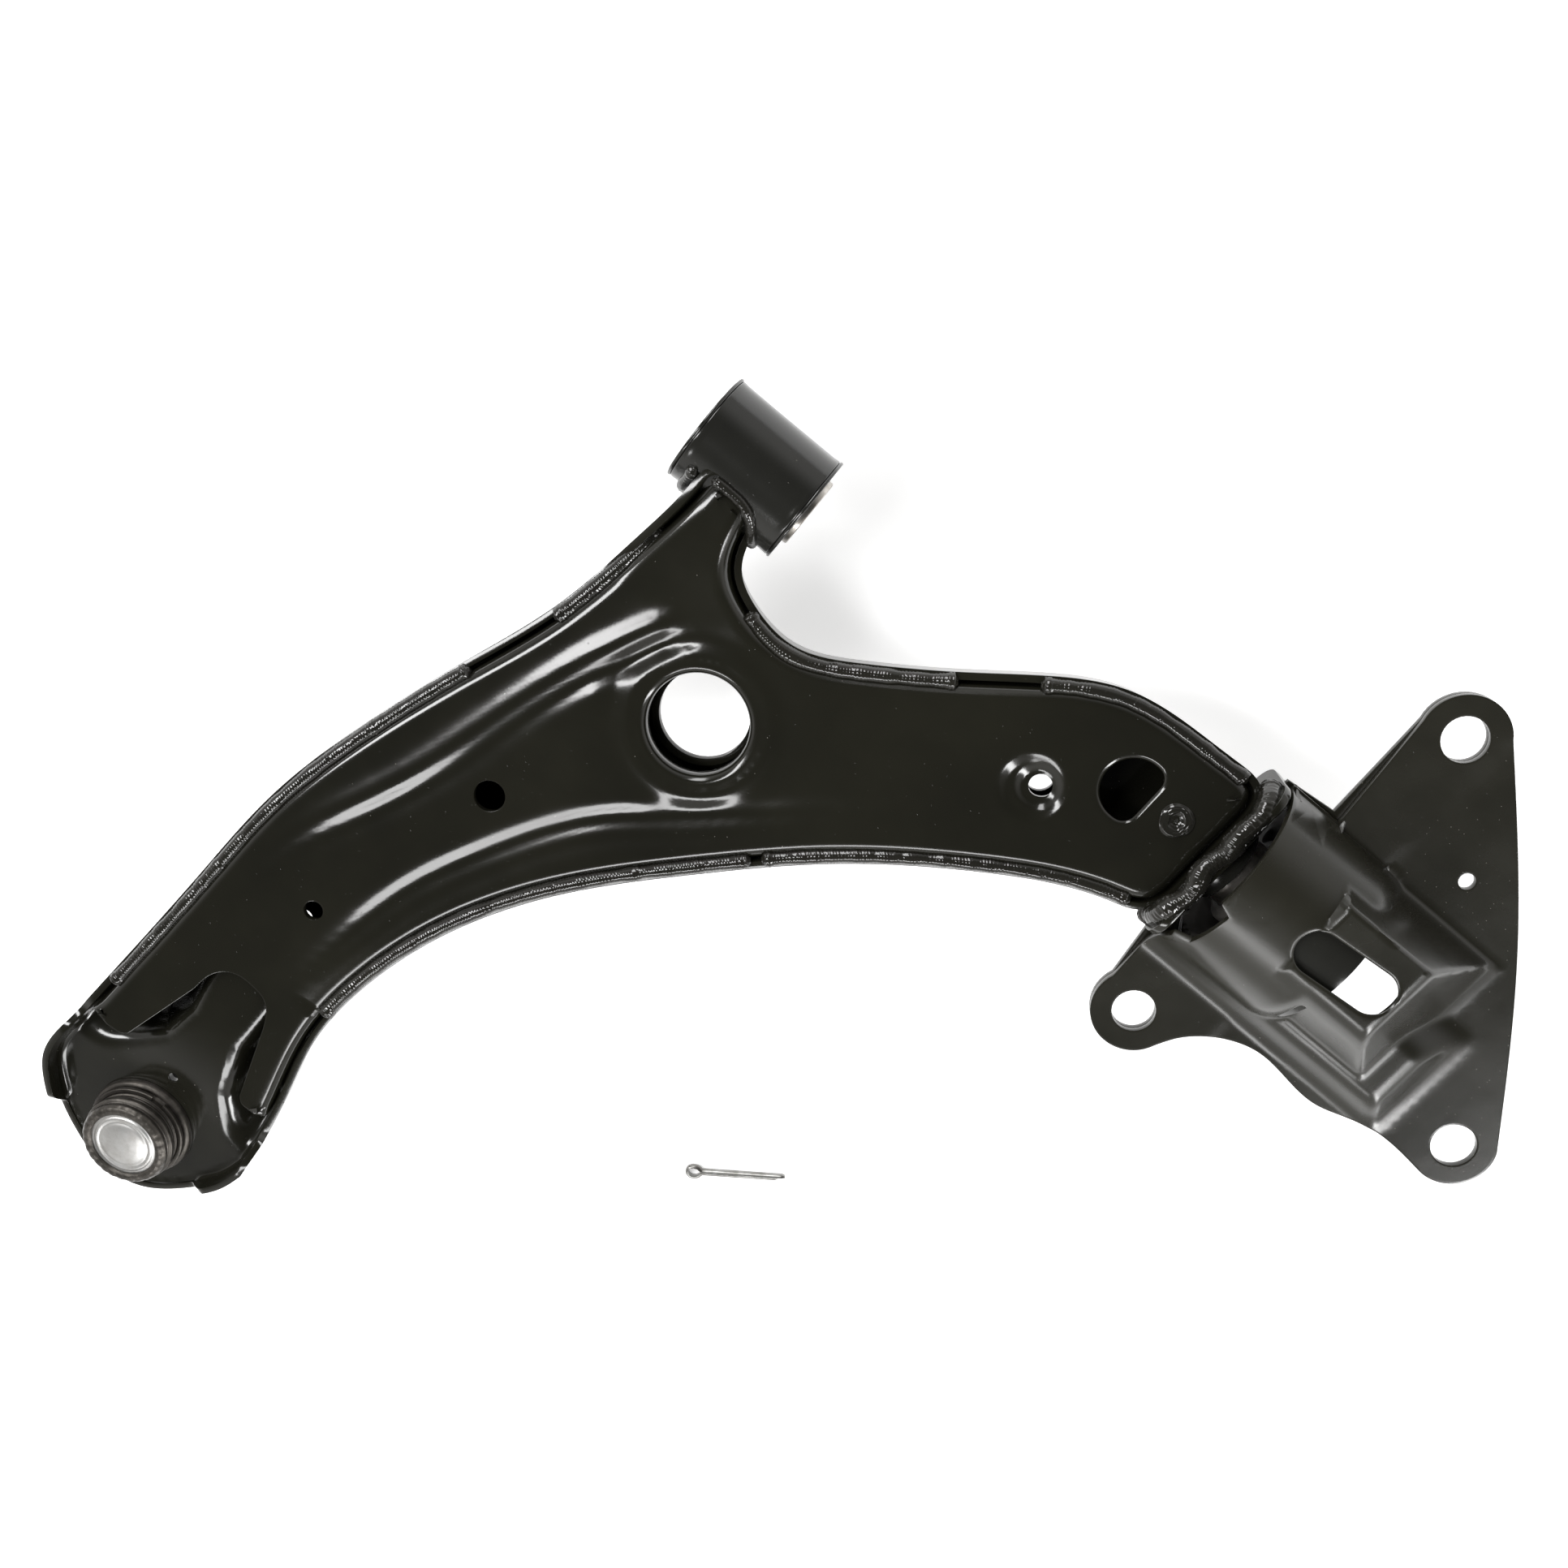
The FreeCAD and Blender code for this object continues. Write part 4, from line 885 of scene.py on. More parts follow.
def lathe(name, profile, place, count=96, shape=None, start=0.0, turn=360.0):
    """Turns a closed outline of (radius, height) round the z axis, then moves it into place."""
    whole = turn >= 360
    angles = np.radians(start + np.linspace(0, turn, count, endpoint=not whole))
    rows = len(profile)
    r = np.repeat(profile[:, 0][:, None], count, 1)
    z = np.repeat(profile[:, 1][:, None], count, 1)
    a = np.repeat(angles[None, :], rows, 0)
    if shape:
        r, z = shape(r, z, a)
    verts = np.stack([r * np.cos(a), r * np.sin(a), z], 2).reshape(-1, 3)
    faces = []
    for i in range(rows):
        j = (i + 1) % rows
        for k in range(count if whole else count - 1):
            n = (k + 1) % count
            faces.append((i * count + k, i * count + n, j * count + n, j * count + k))
    if not whole:
        faces.append(tuple(i * count for i in range(rows)))
        faces.append(tuple(i * count + count - 1 for i in range(rows))[::-1])
    mesh = to_millimetre_mesh(name, verts, faces)
    run = np.concatenate([[0], np.cumsum(np.linalg.norm(np.diff(profile, axis=0), axis=1))])
    along = mesh.attributes.new("along", "FLOAT", "POINT")
    along.data.foreach_set("value", np.repeat(run * MM, count).astype(np.float32))
    work = bmesh.new()
    work.from_mesh(mesh)
    bmesh.ops.remove_doubles(work, verts=work.verts, dist=0.000004)
    bmesh.ops.dissolve_degenerate(work, edges=work.edges, dist=0.000002)
    bmesh.ops.recalc_face_normals(work, faces=work.faces)
    work.to_mesh(mesh)
    work.free()
    in_metres = place.copy()
    in_metres.translation = place.translation * MM
    mesh.transform(in_metres)
    return piece(name, mesh)


def turned_marks():
    """Fine rings left by turning or rolling, with faint scratches across them."""
    tree, given, result = group_tree(
        "turned_marks",
        [("Vector", "NodeSocketVector", None), ("Along", "NodeSocketFloat", None),
         ("Rings", "NodeSocketFloat", 2600.0), ("Scratches", "NodeSocketFloat", 0.5)],
        [("Height", "NodeSocketFloat"), ("Wear", "NodeSocketFloat")])
    rings = wire(tree, "ShaderNodeTexNoise", {"W": given.outputs["Along"],
                                              "Scale": given.outputs["Rings"], "Detail": 3.0},
                 noise_dimensions="1D")
    grain = wire(tree, "ShaderNodeTexNoise", {"Vector": given.outputs["Vector"],
                                              "Scale": 1500.0, "Detail": 2.0})
    scaled = maths(tree, "MULTIPLY", grain.outputs["Fac"], given.outputs["Scratches"])
    height = maths(tree, "ADD", rings.outputs["Fac"], scaled)
    wear = wire(tree, "ShaderNodeTexNoise", {"Vector": given.outputs["Vector"], "Scale": 170.0,
                                             "Detail": 5.0, "Roughness": 0.65})
    tree.links.new(height, result.inputs["Height"])
    tree.links.new(wear.outputs["Fac"], result.inputs["Wear"])
    return tree


MARKS = turned_marks()


def turned_metal(name, bright, dull, rough, ring_depth, scratches=0.5, metallic=1.0):
    """Bare or plated metal with rings, duller in patches."""
    material = bpy.data.materials.new(name)
    material.use_nodes = True
    tree = material.node_tree
    shader = tree.nodes["Principled BSDF"]
    along = wire(tree, "ShaderNodeAttribute", attribute_name="along")
    marks = wire(tree, "ShaderNodeGroup", {
        "Vector": wire(tree, "ShaderNodeTexCoord").outputs["Object"],
        "Along": along.outputs["Fac"], "Scratches": scratches}, node_tree=MARKS)
    spread = wire(tree, "ShaderNodeMapRange", {"Value": marks.outputs["Wear"],
                                               "From Min": 0.38, "From Max": 0.66})
    tree.links.new(tinted(tree, spread.outputs[0], (*bright, 1), (*dull, 1)),
                   shader.inputs["Base Color"])
    gloss = wire(tree, "ShaderNodeMapRange", {"Value": marks.outputs["Wear"],
                                              "To Min": rough * 0.7, "To Max": rough * 1.4})
    tree.links.new(gloss.outputs[0], shader.inputs["Roughness"])
    bumps = wire(tree, "ShaderNodeBump", {"Height": marks.outputs["Height"],
                                          "Strength": ring_depth, "Distance": 0.00008})
    tree.links.new(bumps.outputs[0], shader.inputs["Normal"])
    shader.inputs["Metallic"].default_value = metallic
    return material


def moulded(name, colour, dusty, rough, grain):
    """Moulded rubber or plastic: fine grain, with a dusty bloom in patches."""
    material = bpy.data.materials.new(name)
    material.use_nodes = True
    tree = material.node_tree
    shader = tree.nodes["Principled BSDF"]
    place = wire(tree, "ShaderNodeTexCoord").outputs["Object"]
    flow = wire(tree, "ShaderNodeGroup", {"Vector": place, "Peel Scale": 2400.0,
                                          "Peel": grain}, node_tree=FLOW)
    dust = wire(tree, "ShaderNodeMapRange", {"Value": flow.outputs["Cloud"],
                                             "From Min": 0.45, "From Max": 0.7})
    tree.links.new(tinted(tree, dust.outputs[0], (*colour, 1), (*dusty, 1)),
                   shader.inputs["Base Color"])
    gloss = wire(tree, "ShaderNodeMapRange", {"Value": flow.outputs["Cloud"],
                                              "To Min": rough - 0.08, "To Max": rough + 0.1})
    tree.links.new(gloss.outputs[0], shader.inputs["Roughness"])
    bumps = wire(tree, "ShaderNodeBump", {"Height": flow.outputs["Height"], "Strength": 0.35,
                                          "Distance": 0.00015})
    tree.links.new(bumps.outputs[0], shader.inputs["Normal"])
    return material


SLEEVE_PAINT = dip_paint("sleeve_paint", (0.0085, 0.0085, 0.008), (0.017, 0.017, 0.014),
                         0.17, 0.05, 0.2, 0.4, 0.4, 0.08)
BUSH_RUBBER = moulded("bush_rubber", (0.016, 0.016, 0.016), (0.05, 0.045, 0.038), 0.62, 0.8)
BARE_STEEL = turned_metal("bare_steel", (0.5, 0.48, 0.45), (0.26, 0.24, 0.21), 0.32, 0.4)

EYE_WALL = 2.6
eye_inner = EYE_R - EYE_WALL
eye_profile = finer(eased([(eye_inner, -EYE_HALF), (EYE_R + 0.1, -EYE_HALF),
                           (EYE_R + 0.15, -EYE_HALF + 1.2), (EYE_R, -EYE_HALF + 2.6),
                           (EYE_R, EYE_HALF - 2.6), (EYE_R + 0.15, EYE_HALF - 1.2),
                           (EYE_R + 0.1, EYE_HALF), (eye_inner, EYE_HALF)], 0.6), 3)
eye = settle(lathe("front_eye_tube", eye_profile, AXLE, 128), SLEEVE_PAINT)
put(eye, "arm", "sleeve_paint", "front_bush_eye")

FLANGE_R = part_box("front_bush_outer_sleeve")[1].z / MM
FLANGE = 1.2
flange_end = EYE_HALF + FLANGE
sleeve_in = eye_inner - 1.2
sleeve_profile = eased([(sleeve_in, -flange_end), (FLANGE_R, -flange_end),
                        (FLANGE_R, -EYE_HALF), (eye_inner, -EYE_HALF), (eye_inner, EYE_HALF),
                        (FLANGE_R, EYE_HALF), (FLANGE_R, flange_end),
                        (sleeve_in, flange_end)], 0.5)


def rolled_lip(r, z, a):
    """The flange's edge is rolled a little unevenly and carries runs of paint."""
    at_rim = smooth(r, FLANGE_R - 2, FLANGE_R)
    return r + at_rim * (0.1 * np.sin(5 * a + 1) + 0.08 * np.sin(13 * a) - 0.18), z


outer_sleeve = settle(lathe("front_bush_sleeve", sleeve_profile, AXLE, 128, rolled_lip),
                      SLEEVE_PAINT)
put(outer_sleeve, "arm", "sleeve_paint", "front_bush_outer_sleeve")

INNER_R, BORE_R = 12.9, 6.1
INNER_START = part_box("front_bush_inner_sleeve")[0].x / MM
INNER_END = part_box("front_bush_inner_sleeve")[1].x / MM
rubber_profile = []
for side in (-1, 1):
    ring = [(INNER_R + 0.05, flange_end - 2.6), (INNER_R + 0.9, flange_end - 2.2),
            (14.0, flange_end - 1.1), (14.8, flange_end - 0.8), (15.4, flange_end - 0.2),
            (sleeve_in, flange_end - 0.5)]
    rubber_profile += [(r, side * z) for r, z in (ring if side < 0 else ring[::-1])]
front_rubber = settle(lathe("front_rubber_ring", eased(rubber_profile, 0.4), AXLE), BUSH_RUBBER)
put(front_rubber, "arm", "bush_rubber", "front_bush_rubber")


def serrated(low, high, inner, outer):
    """Radial teeth rolled into the ends of an inner sleeve."""
    def shape(r, z, a):
        face = smooth(r, inner + 0.5, inner + 1.4) * (1 - smooth(r, outer - 1.2, outer - 0.5))
        tooth = 0.28 * np.abs(np.sin(18 * a)) * face
        z = np.where(z < low + 1.5, z + tooth, z)
        return r, np.where(z > high - 1.5, z - tooth, z)
    return shape


def inner_sleeve(name, start, end, outer, bore):
    profile = finer(eased([(bore, start), (outer, start), (outer, end), (bore, end)], 0.7), 1.4)
    return settle(lathe(name, profile, AXLE, 216, serrated(start, end, bore, outer)),
                  BARE_STEEL, 25)


front_inner = inner_sleeve("front_bush_core", INNER_START, INNER_END, INNER_R, BORE_R)
put(front_inner, "front_sleeve", "bare_steel", "front_bush_inner_sleeve")

# ---- welds ---------------------------------------------------------------------------------
# Arc-weld beads laid by hand-guided robot: overlapping ripples with round, pitted ends, under
# the same black coat. They join cover to pan, both shells to the eye and to the end plate.
WELD_PAINT = dip_paint("weld_paint", (0.008, 0.008, 0.0075), (0.018, 0.017, 0.013),
                       0.1, 0.03, 0.15, 0.8, 0.9)


def weld_nodes():
    """The node tree that turns a line into a rippled bead."""
    tree = bpy.data.node_groups.new("weld_bead", "GeometryNodeTree")
    face = tree.interface
    face.new_socket(name="Geometry", in_out="INPUT", socket_type="NodeSocketGeometry")
    for label, value in (("Radius", 0.0022), ("Pitch", 0.0021), ("Ripple", 0.0002),
                         ("Unevenness", 0.35)):
        face.new_socket(name=label, in_out="INPUT",
                        socket_type="NodeSocketFloat").default_value = value
    face.new_socket(name="Seed", in_out="INPUT", socket_type="NodeSocketInt").default_value = 3
    face.new_socket(name="Material", in_out="INPUT", socket_type="NodeSocketMaterial")
    face.new_socket(name="Geometry", in_out="OUTPUT", socket_type="NodeSocketGeometry")
    given, result = tree.nodes.new("NodeGroupInput"), tree.nodes.new("NodeGroupOutput")

    def sums(operation, a, b=0.0):
        return maths(tree, operation, a, b)

    curve = wire(tree, "GeometryNodeMeshToCurve", {"Mesh": given.outputs["Geometry"]})
    even = wire(tree, "GeometryNodeResampleCurve", {"Curve": curve.outputs[0],
                                                    "Length": 0.00035}, mode="LENGTH")
    upright = wire(tree, "GeometryNodeSetCurveNormal", {"Curve": even.outputs[0]}, mode="Z_UP")
    place = wire(tree, "GeometryNodeSplineParameter")
    total = wire(tree, "GeometryNodeSplineLength")
    ahead = sums("SUBTRACT", total.outputs["Length"], place.outputs["Length"])
    to_end = sums("MINIMUM", place.outputs["Length"], ahead)
    keep = wire(tree, "GeometryNodeCaptureAttribute", {"Geometry": upright.outputs[0]},
                domain="POINT")
    for label, source in (("Run", place.outputs["Length"]), ("End", to_end)):
        keep.capture_items.new("FLOAT", label)
        tree.links.new(source, keep.inputs[label])
    ring = wire(tree, "GeometryNodeCurvePrimitiveCircle", {"Resolution": 16, "Radius": 1.0})
    round_place = wire(tree, "GeometryNodeSplineParameter")
    side = wire(tree, "GeometryNodeCaptureAttribute", {"Geometry": ring.outputs["Curve"]},
                domain="POINT")
    side.capture_items.new("FLOAT", "Side")
    turn = sums("MULTIPLY", round_place.outputs["Factor"], 2 * math.pi)
    tree.links.new(sums("COSINE", turn), side.inputs["Side"])
    seed = sums("MULTIPLY", given.outputs["Seed"], 7.3)
    wander = wire(tree, "ShaderNodeTexNoise", {"W": seed, "Scale": 150.0, "Detail": 1.0},
                  noise_dimensions="4D")
    swing = sums("MULTIPLY", sums("SUBTRACT", wander.outputs["Fac"], 0.5),
                 given.outputs["Unevenness"])
    blob = sums("MULTIPLY", wire(tree, "ShaderNodeMapRange",
                                 {"Value": to_end, "From Min": 0.0045, "From Max": 0.0012},
                                 interpolation_type="SMOOTHSTEP").outputs[0], 0.3)
    nose = wire(tree, "ShaderNodeMapRange", {"Value": to_end, "From Min": 0.0, "From Max": 0.0016,
                                             "To Min": 0.35, "To Max": 1.0},
                interpolation_type="SMOOTHERSTEP").outputs[0]
    size = sums("MULTIPLY", sums("ADD", sums("ADD", swing, blob), 1.0), nose)
    body = wire(tree, "GeometryNodeCurveToMesh",
                {"Curve": keep.outputs["Geometry"], "Profile Curve": side.outputs["Geometry"],
                 "Scale": sums("MULTIPLY", size, given.outputs["Radius"]), "Fill Caps": True})
    lag = sums("MULTIPLY", sums("POWER", side.outputs["Side"], 2.0), 2.6)
    beat = sums("ADD", sums("DIVIDE", sums("MULTIPLY", keep.outputs["Run"], 2 * math.pi),
                            given.outputs["Pitch"]), lag)
    jitter = sums("ADD", beat, sums("MULTIPLY", wander.outputs["Fac"], 9.0))
    crest = sums("SUBTRACT", sums("ABSOLUTE", sums("SINE", jitter)), 0.6)
    pit = wire(tree, "ShaderNodeMapRange", {"Value": sums("ABSOLUTE", sums(
        "SUBTRACT", keep.outputs["End"], 0.0018)), "From Min": 0.0, "From Max": 0.0012,
        "To Min": -2.2, "To Max": 0.0}, interpolation_type="SMOOTHSTEP").outputs[0]
    rough = wire(tree, "ShaderNodeTexNoise", {"W": seed, "Scale": 900.0, "Detail": 2.0},
                 noise_dimensions="4D")
    grit = sums("MULTIPLY", sums("SUBTRACT", rough.outputs["Fac"], 0.5), 0.9)
    lift = sums("MULTIPLY", sums("ADD", sums("ADD", crest, pit), grit), given.outputs["Ripple"])
    outward = wire(tree, "GeometryNodeInputNormal")
    shove = wire(tree, "ShaderNodeVectorMath", {0: outward.outputs[0], 3: lift},
                 operation="SCALE")
    moved = wire(tree, "GeometryNodeSetPosition", {"Geometry": body.outputs[0],
                                                   "Offset": shove.outputs[0]})
    real = wire(tree, "GeometryNodeRealizeInstances", {"Geometry": moved.outputs[0]})
    coat = wire(tree, "GeometryNodeSetMaterial", {"Geometry": real.outputs[0],
                                                  "Material": given.outputs["Material"]})
    tree.links.new(coat.outputs[0], result.inputs["Geometry"])
    return tree


BEAD_NODES = weld_nodes()


def weld_beads(name, paths, radius, seed, unevenness=0.35, pitch=2.1):
    """Beads along lines of points."""
    verts, edges = [], []
    for path in paths:
        edges += [(len(verts) + i, len(verts) + i + 1) for i in range(len(path) - 1)]
        verts += [tuple(np.array(p) * MM) for p in path]
    mesh = bpy.data.meshes.new(name)
    mesh.from_pydata(verts, edges, [])
    thing = piece(name, mesh)
    nodes = thing.modifiers.new("bead", "NODES")
    nodes.node_group = BEAD_NODES
    values = {"Radius": radius * MM, "Seed": seed, "Unevenness": unevenness,
              "Pitch": pitch * MM, "Ripple": 0.09 * radius * MM, "Material": WELD_PAINT}
    for item in BEAD_NODES.interface.items_tree:
        if item.in_out == "INPUT" and item.name in values:
            nodes[item.identifier] = values[item.name]
    return settle(thing, WELD_PAINT, 80)


def along_seam(start, end, forward=True):
    """The stretch of the seam between two points, on top of the gap between the sheets."""
    seam = inset(ARM_OUTLINE, 3.3)
    a = int(np.argmin(np.linalg.norm(seam - np.array(start), axis=1)))
    b = int(np.argmin(np.linalg.norm(seam - np.array(end), axis=1)))
    if not forward:
        a, b = b, a
    pick = np.arange(a, b + 1) if a <= b else np.concatenate([np.arange(a, len(seam)),
                                                              np.arange(0, b + 1)])
    return at_height(seam[pick], 9.3)


seams = weld_beads("seam_beads", [
    along_seam((-65, -305), (-32, -117), False), along_seam((-19, -83), (-10, -34), False),
    along_seam((0, -262), (81, -104)), along_seam((84, -101), (196, -33)),
    along_seam((30, -36), (97, -8), False), along_seam((119, 9), (196, 29), False)], 2.7, 3,
    0.5, 2.3)
put(seams, "arm", "weld_paint", "seam_welds")

saddle_low = FLOOR_UNDERSIDE + 1.6


def on_eye(x, z, out=0.3):
    """A place on the side of the eye tube that faces the arm."""
    return x, -math.sqrt((EYE_R + out) ** 2 - z ** 2), z


eye_beads = weld_beads("eye_beads", [
    through([on_eye(-8, 17.9), on_eye(0, 18.1), on_eye(7, 17.4), on_eye(11.5, 14.5),
             on_eye(13.8, 9.5), on_eye(15, 3)], 0.8),
    through([on_eye(-14.6, 17.4), on_eye(-15.2, 12), on_eye(-15.4, 5), on_eye(-15, -2)], 0.8),
    through([on_eye(-13, saddle_low), on_eye(0, saddle_low - 0.3), on_eye(12, saddle_low)],
            0.8)], 2.0, 11, 0.6, 2.4)
put(eye_beads, "arm", "weld_paint", "eye_weld")

end_x = PLATE_X - 1.0
plate_beads = weld_beads("end_plate_beads", [
    through([(end_x - 0.6, -30.5, 3), (end_x, -28.4, 11), (end_x - 0.6, -22, 16.2),
             (end_x + 0.9, -13, 18.0), (end_x - 1.6, -4, 18.2), (end_x + 0.8, 5, 16.2),
             (end_x - 0.6, 13, 17.8), (end_x + 0.5, 20, 16.6), (end_x, 26.5, 13),
             (end_x - 0.6, 30.8, 5)], 0.8),
    straight((end_x, -24, FLOOR_UNDERSIDE - 0.6), (end_x, 24, FLOOR_UNDERSIDE - 0.6), 0.8)],
    3.7, 5, 1.0, 3.4)
put(plate_beads, "arm", "weld_paint", "end_plate_weld")


def plug_ripples(r, z, a):
    """Concentric ripples of a plug weld, sunk in the middle."""
    top = smooth(z, COVER_TOP - 0.6, COVER_TOP - 0.2)
    wobble = 0.3 * np.sin(2 * a + 0.7) + 0.16 * np.sin(5 * a + 2)
    rings = 0.2 * np.sin(2 * math.pi * (r + wobble) / 1.5)
    crater = 1.1 * (1 - smooth(r + 0.4 * wobble, 1.4, 3.4))
    return r * (1 + 0.03 * np.sin(3 * a)), z + top * (rings - crater - 0.02 * r)


plug_profile = finer(eased([(0.0, 8.6), (6.0, 8.6), (6.3, COVER_TOP - 0.4),
                            (5.6, COVER_TOP + 0.45), (0.0, COVER_TOP + 0.3)], 0.5), 0.45)
plug = settle(lathe("plug_weld_button", plug_profile, Matrix.Translation((*PLUG, 0)), 72,
                    plug_ripples), WELD_PAINT, 80)
put(plug, "arm", "weld_paint", "plug_weld")

# ---- end plate and pivot pin ---------------------------------------------------------------
# A thick blanked plate closes the rear mouth of the shells, its ears standing proud of them,
# and carries a turned pin on the pivot axis for the rear bush.
PLATE_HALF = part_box("end_plate")[1].y / MM
PLATE_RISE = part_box("end_plate")[1].z / MM
PLATE_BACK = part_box("end_plate")[1].x / MM
STANDING = Matrix(((0, 0, 1, 0), (1, 0, 0, 0), (0, 1, 0, 0), (0, 0, 0, 1)))


def filled_out(thing, back):
    """Turns an open face on xy into a solid that reaches down to a flat back."""
    work = bmesh.new()
    work.from_mesh(thing.data)
    made = bmesh.ops.extrude_face_region(work, geom=work.faces[:], use_keep_orig=True)
    for item in made["geom"]:
        if isinstance(item, bmesh.types.BMVert):
            item.co.z = back * MM
    bmesh.ops.recalc_face_normals(work, faces=work.faces)
    work.to_mesh(thing.data)
    work.free()


def plate_face(u, v):
    """The plate's face towards the bush: not quite flat, with a faint ring round the pin."""
    u, v = np.asarray(u, float), np.asarray(v, float)
    r = np.hypot(u, v)
    return PLATE_BACK - 0.25 + 0.2 * np.sin(u * 0.21) * np.cos(v * 0.3) - 0.1 * bump(r - 17, 2)


corner = PLATE_RISE / 2
plate_loop = []
for su, sv, start in ((1, 1, 0), (-1, 1, 90), (-1, -1, 180), (1, -1, 270)):
    t = np.radians(np.linspace(start, start + 90, 14))
    plate_loop.append(np.column_stack([su * (PLATE_HALF - corner) + corner * np.cos(t),
                                       sv * (PLATE_RISE - corner) + corner * np.sin(t)]))
plate_loop = np.concatenate(plate_loop)
plate_loop = evenly(np.concatenate([plate_loop, plate_loop[:1]]), 1.4)[:-1]
plate_rings = edge_rings(plate_loop, plate_face, ((0, 0.9), (0.25, 0.3), (0.9, 0)))
plate = piece("end_plate_blank", sheet_mesh("end_plate_blank", [plate_rings], plate_face,
                                            honeycomb((-40, -24), (40, 24), 2.2), 0.8))
filled_out(plate, PLATE_X)
plate.data.transform(STANDING)
ease(plate, 0.6, 40)
settle(plate, SHELL_PAINT)
put(plate, "arm", "arm_paint", "end_plate")

PIN_R, PIN_COLLAR_R, PIN_COLLAR = 8.0, 15.0, 5.0
pin_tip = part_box("pivot_pin")[1].x / MM
pin_profile = finer(eased([(0, PLATE_BACK), (PIN_COLLAR_R, PLATE_BACK),
                           (PIN_COLLAR_R, PLATE_BACK + PIN_COLLAR),
                           (PIN_R, PLATE_BACK + PIN_COLLAR), (PIN_R, pin_tip - 1.2),
                           (PIN_R - 1.2, pin_tip), (2.2, pin_tip), (1.2, pin_tip - 1.4),
                           (0, pin_tip - 2.0)], 0.35), 2.5)
pin = settle(lathe("turned_pin", pin_profile, AXLE), SLEEVE_PAINT)
put(pin, "arm", "sleeve_paint", "pivot_pin")

# ---- rear bush -----------------------------------------------------------------------------
# A drawn outer sleeve gripped by the bracket, rubber with two curved voids left by its mould,
# and a serrated inner sleeve on the pivot pin.
REAR_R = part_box("rear_bush_outer_sleeve")[1].z / MM
REAR_WALL = 2.5
rear_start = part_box("rear_bush_outer_sleeve")[0].x / MM
rear_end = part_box("rear_bush_outer_sleeve")[1].x / MM
rear_in = REAR_R - REAR_WALL
rear_profile = finer(eased([(rear_in, rear_start + 1.0), (rear_in + 0.5, rear_start + 0.1),
                            (rear_in + 1.1, rear_start), (rear_in + 1.3, rear_start + 0.7),
                            (rear_in + 1.6, rear_start), (REAR_R - 0.2, rear_start + 0.3),
                            (REAR_R, rear_start + 1.2), (REAR_R, rear_end),
                            (rear_in, rear_end)], 0.35), 3)
rear_sleeve = settle(lathe("rear_bush_sleeve", rear_profile, AXLE, 144), SLEEVE_PAINT)
put(rear_sleeve, "bracket", "sleeve_paint", "rear_bush_outer_sleeve")

REAR_INNER_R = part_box("rear_bush_inner_sleeve")[1].z / MM
core_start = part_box("rear_bush_inner_sleeve")[0].x / MM
core_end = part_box("rear_bush_inner_sleeve")[1].x / MM
rear_core = inner_sleeve("rear_bush_core", core_start, core_end, REAR_INNER_R, PIN_R)
put(rear_core, "arm", "bare_steel", "rear_bush_inner_sleeve")

VOID_IN, VOID_OUT, VOID_HALF = 17.5, 25.5, 52
rubber_face_x = rear_start + 2.0


def rubber_face(u, v):
    """The moulded face: a lip by the sleeve, a hub round the core and raised webs."""
    r = np.hypot(u, v)
    lip = 3.2 * smooth(r, VOID_OUT + 0.2, VOID_OUT + 1.6) * (1 - 0.4 * smooth(r, 28.2, 29.4))
    hub = 1.2 * (1 - smooth(r, 15.2, 16.8))
    web = 0.5 * bump(u, 6)
    return -rubber_face_x + lip + hub + web


def void_loop(middle):
    """A curved slot with rounded ends."""
    centre, half = (VOID_IN + VOID_OUT) / 2, (VOID_OUT - VOID_IN) / 2
    spread = VOID_HALF - math.degrees(half / centre)
    made = []
    for sign, radius in ((1, VOID_OUT), (-1, VOID_IN)):
        t = np.radians(middle + sign * np.linspace(-spread, spread, 34))
        made.append(radius * np.column_stack([np.cos(t), np.sin(t)]))
        tip = math.radians(middle + sign * spread)
        c = centre * np.array([math.cos(tip), math.sin(tip)])
        out = np.linspace(0, math.pi, 12)[1:-1]
        a = tip + (out if sign > 0 else out + math.pi)
        made.append(c + half * np.column_stack([np.cos(a), np.sin(a)]))
    return evenly(np.concatenate(made + [made[0][:1]]), 1.2)[:-1]


outer_ring = circle(0, 0, rear_in - 0.03, 1.3)
stacks = [edge_rings(outer_ring, rubber_face, ((0, 0.5), (0.7, 0)))]
inner_ring = circle(0, 0, REAR_INNER_R + 0.06, 1.2)
stacks.append([at_height(r, rubber_face(*r.T) - d) for r, d in
               ((inner_ring, 0.4), (inner_ring * (1 + 0.7 / REAR_INNER_R), 0))])
for middle in (0, 180):
    stacks.append(edge_rings(void_loop(middle), rubber_face,
                             ((0, 0.9), (-0.35, 0.25), (-1.0, 0))))
rear_rubber = piece("rear_rubber_block", sheet_mesh("rear_rubber_block", stacks, rubber_face,
                                                   honeycomb((-31, -31), (31, 31), 1.5), 0.7))
filled_out(rear_rubber, -rear_end + 2)
rear_rubber.data.transform(Matrix(((0, 0, -1, 0), (1, 0, 0, 0), (0, -1, 0, 0), (0, 0, 0, 1))))
settle(rear_rubber, BUSH_RUBBER)
put(rear_rubber, "bracket", "bush_rubber", "rear_bush_rubber")

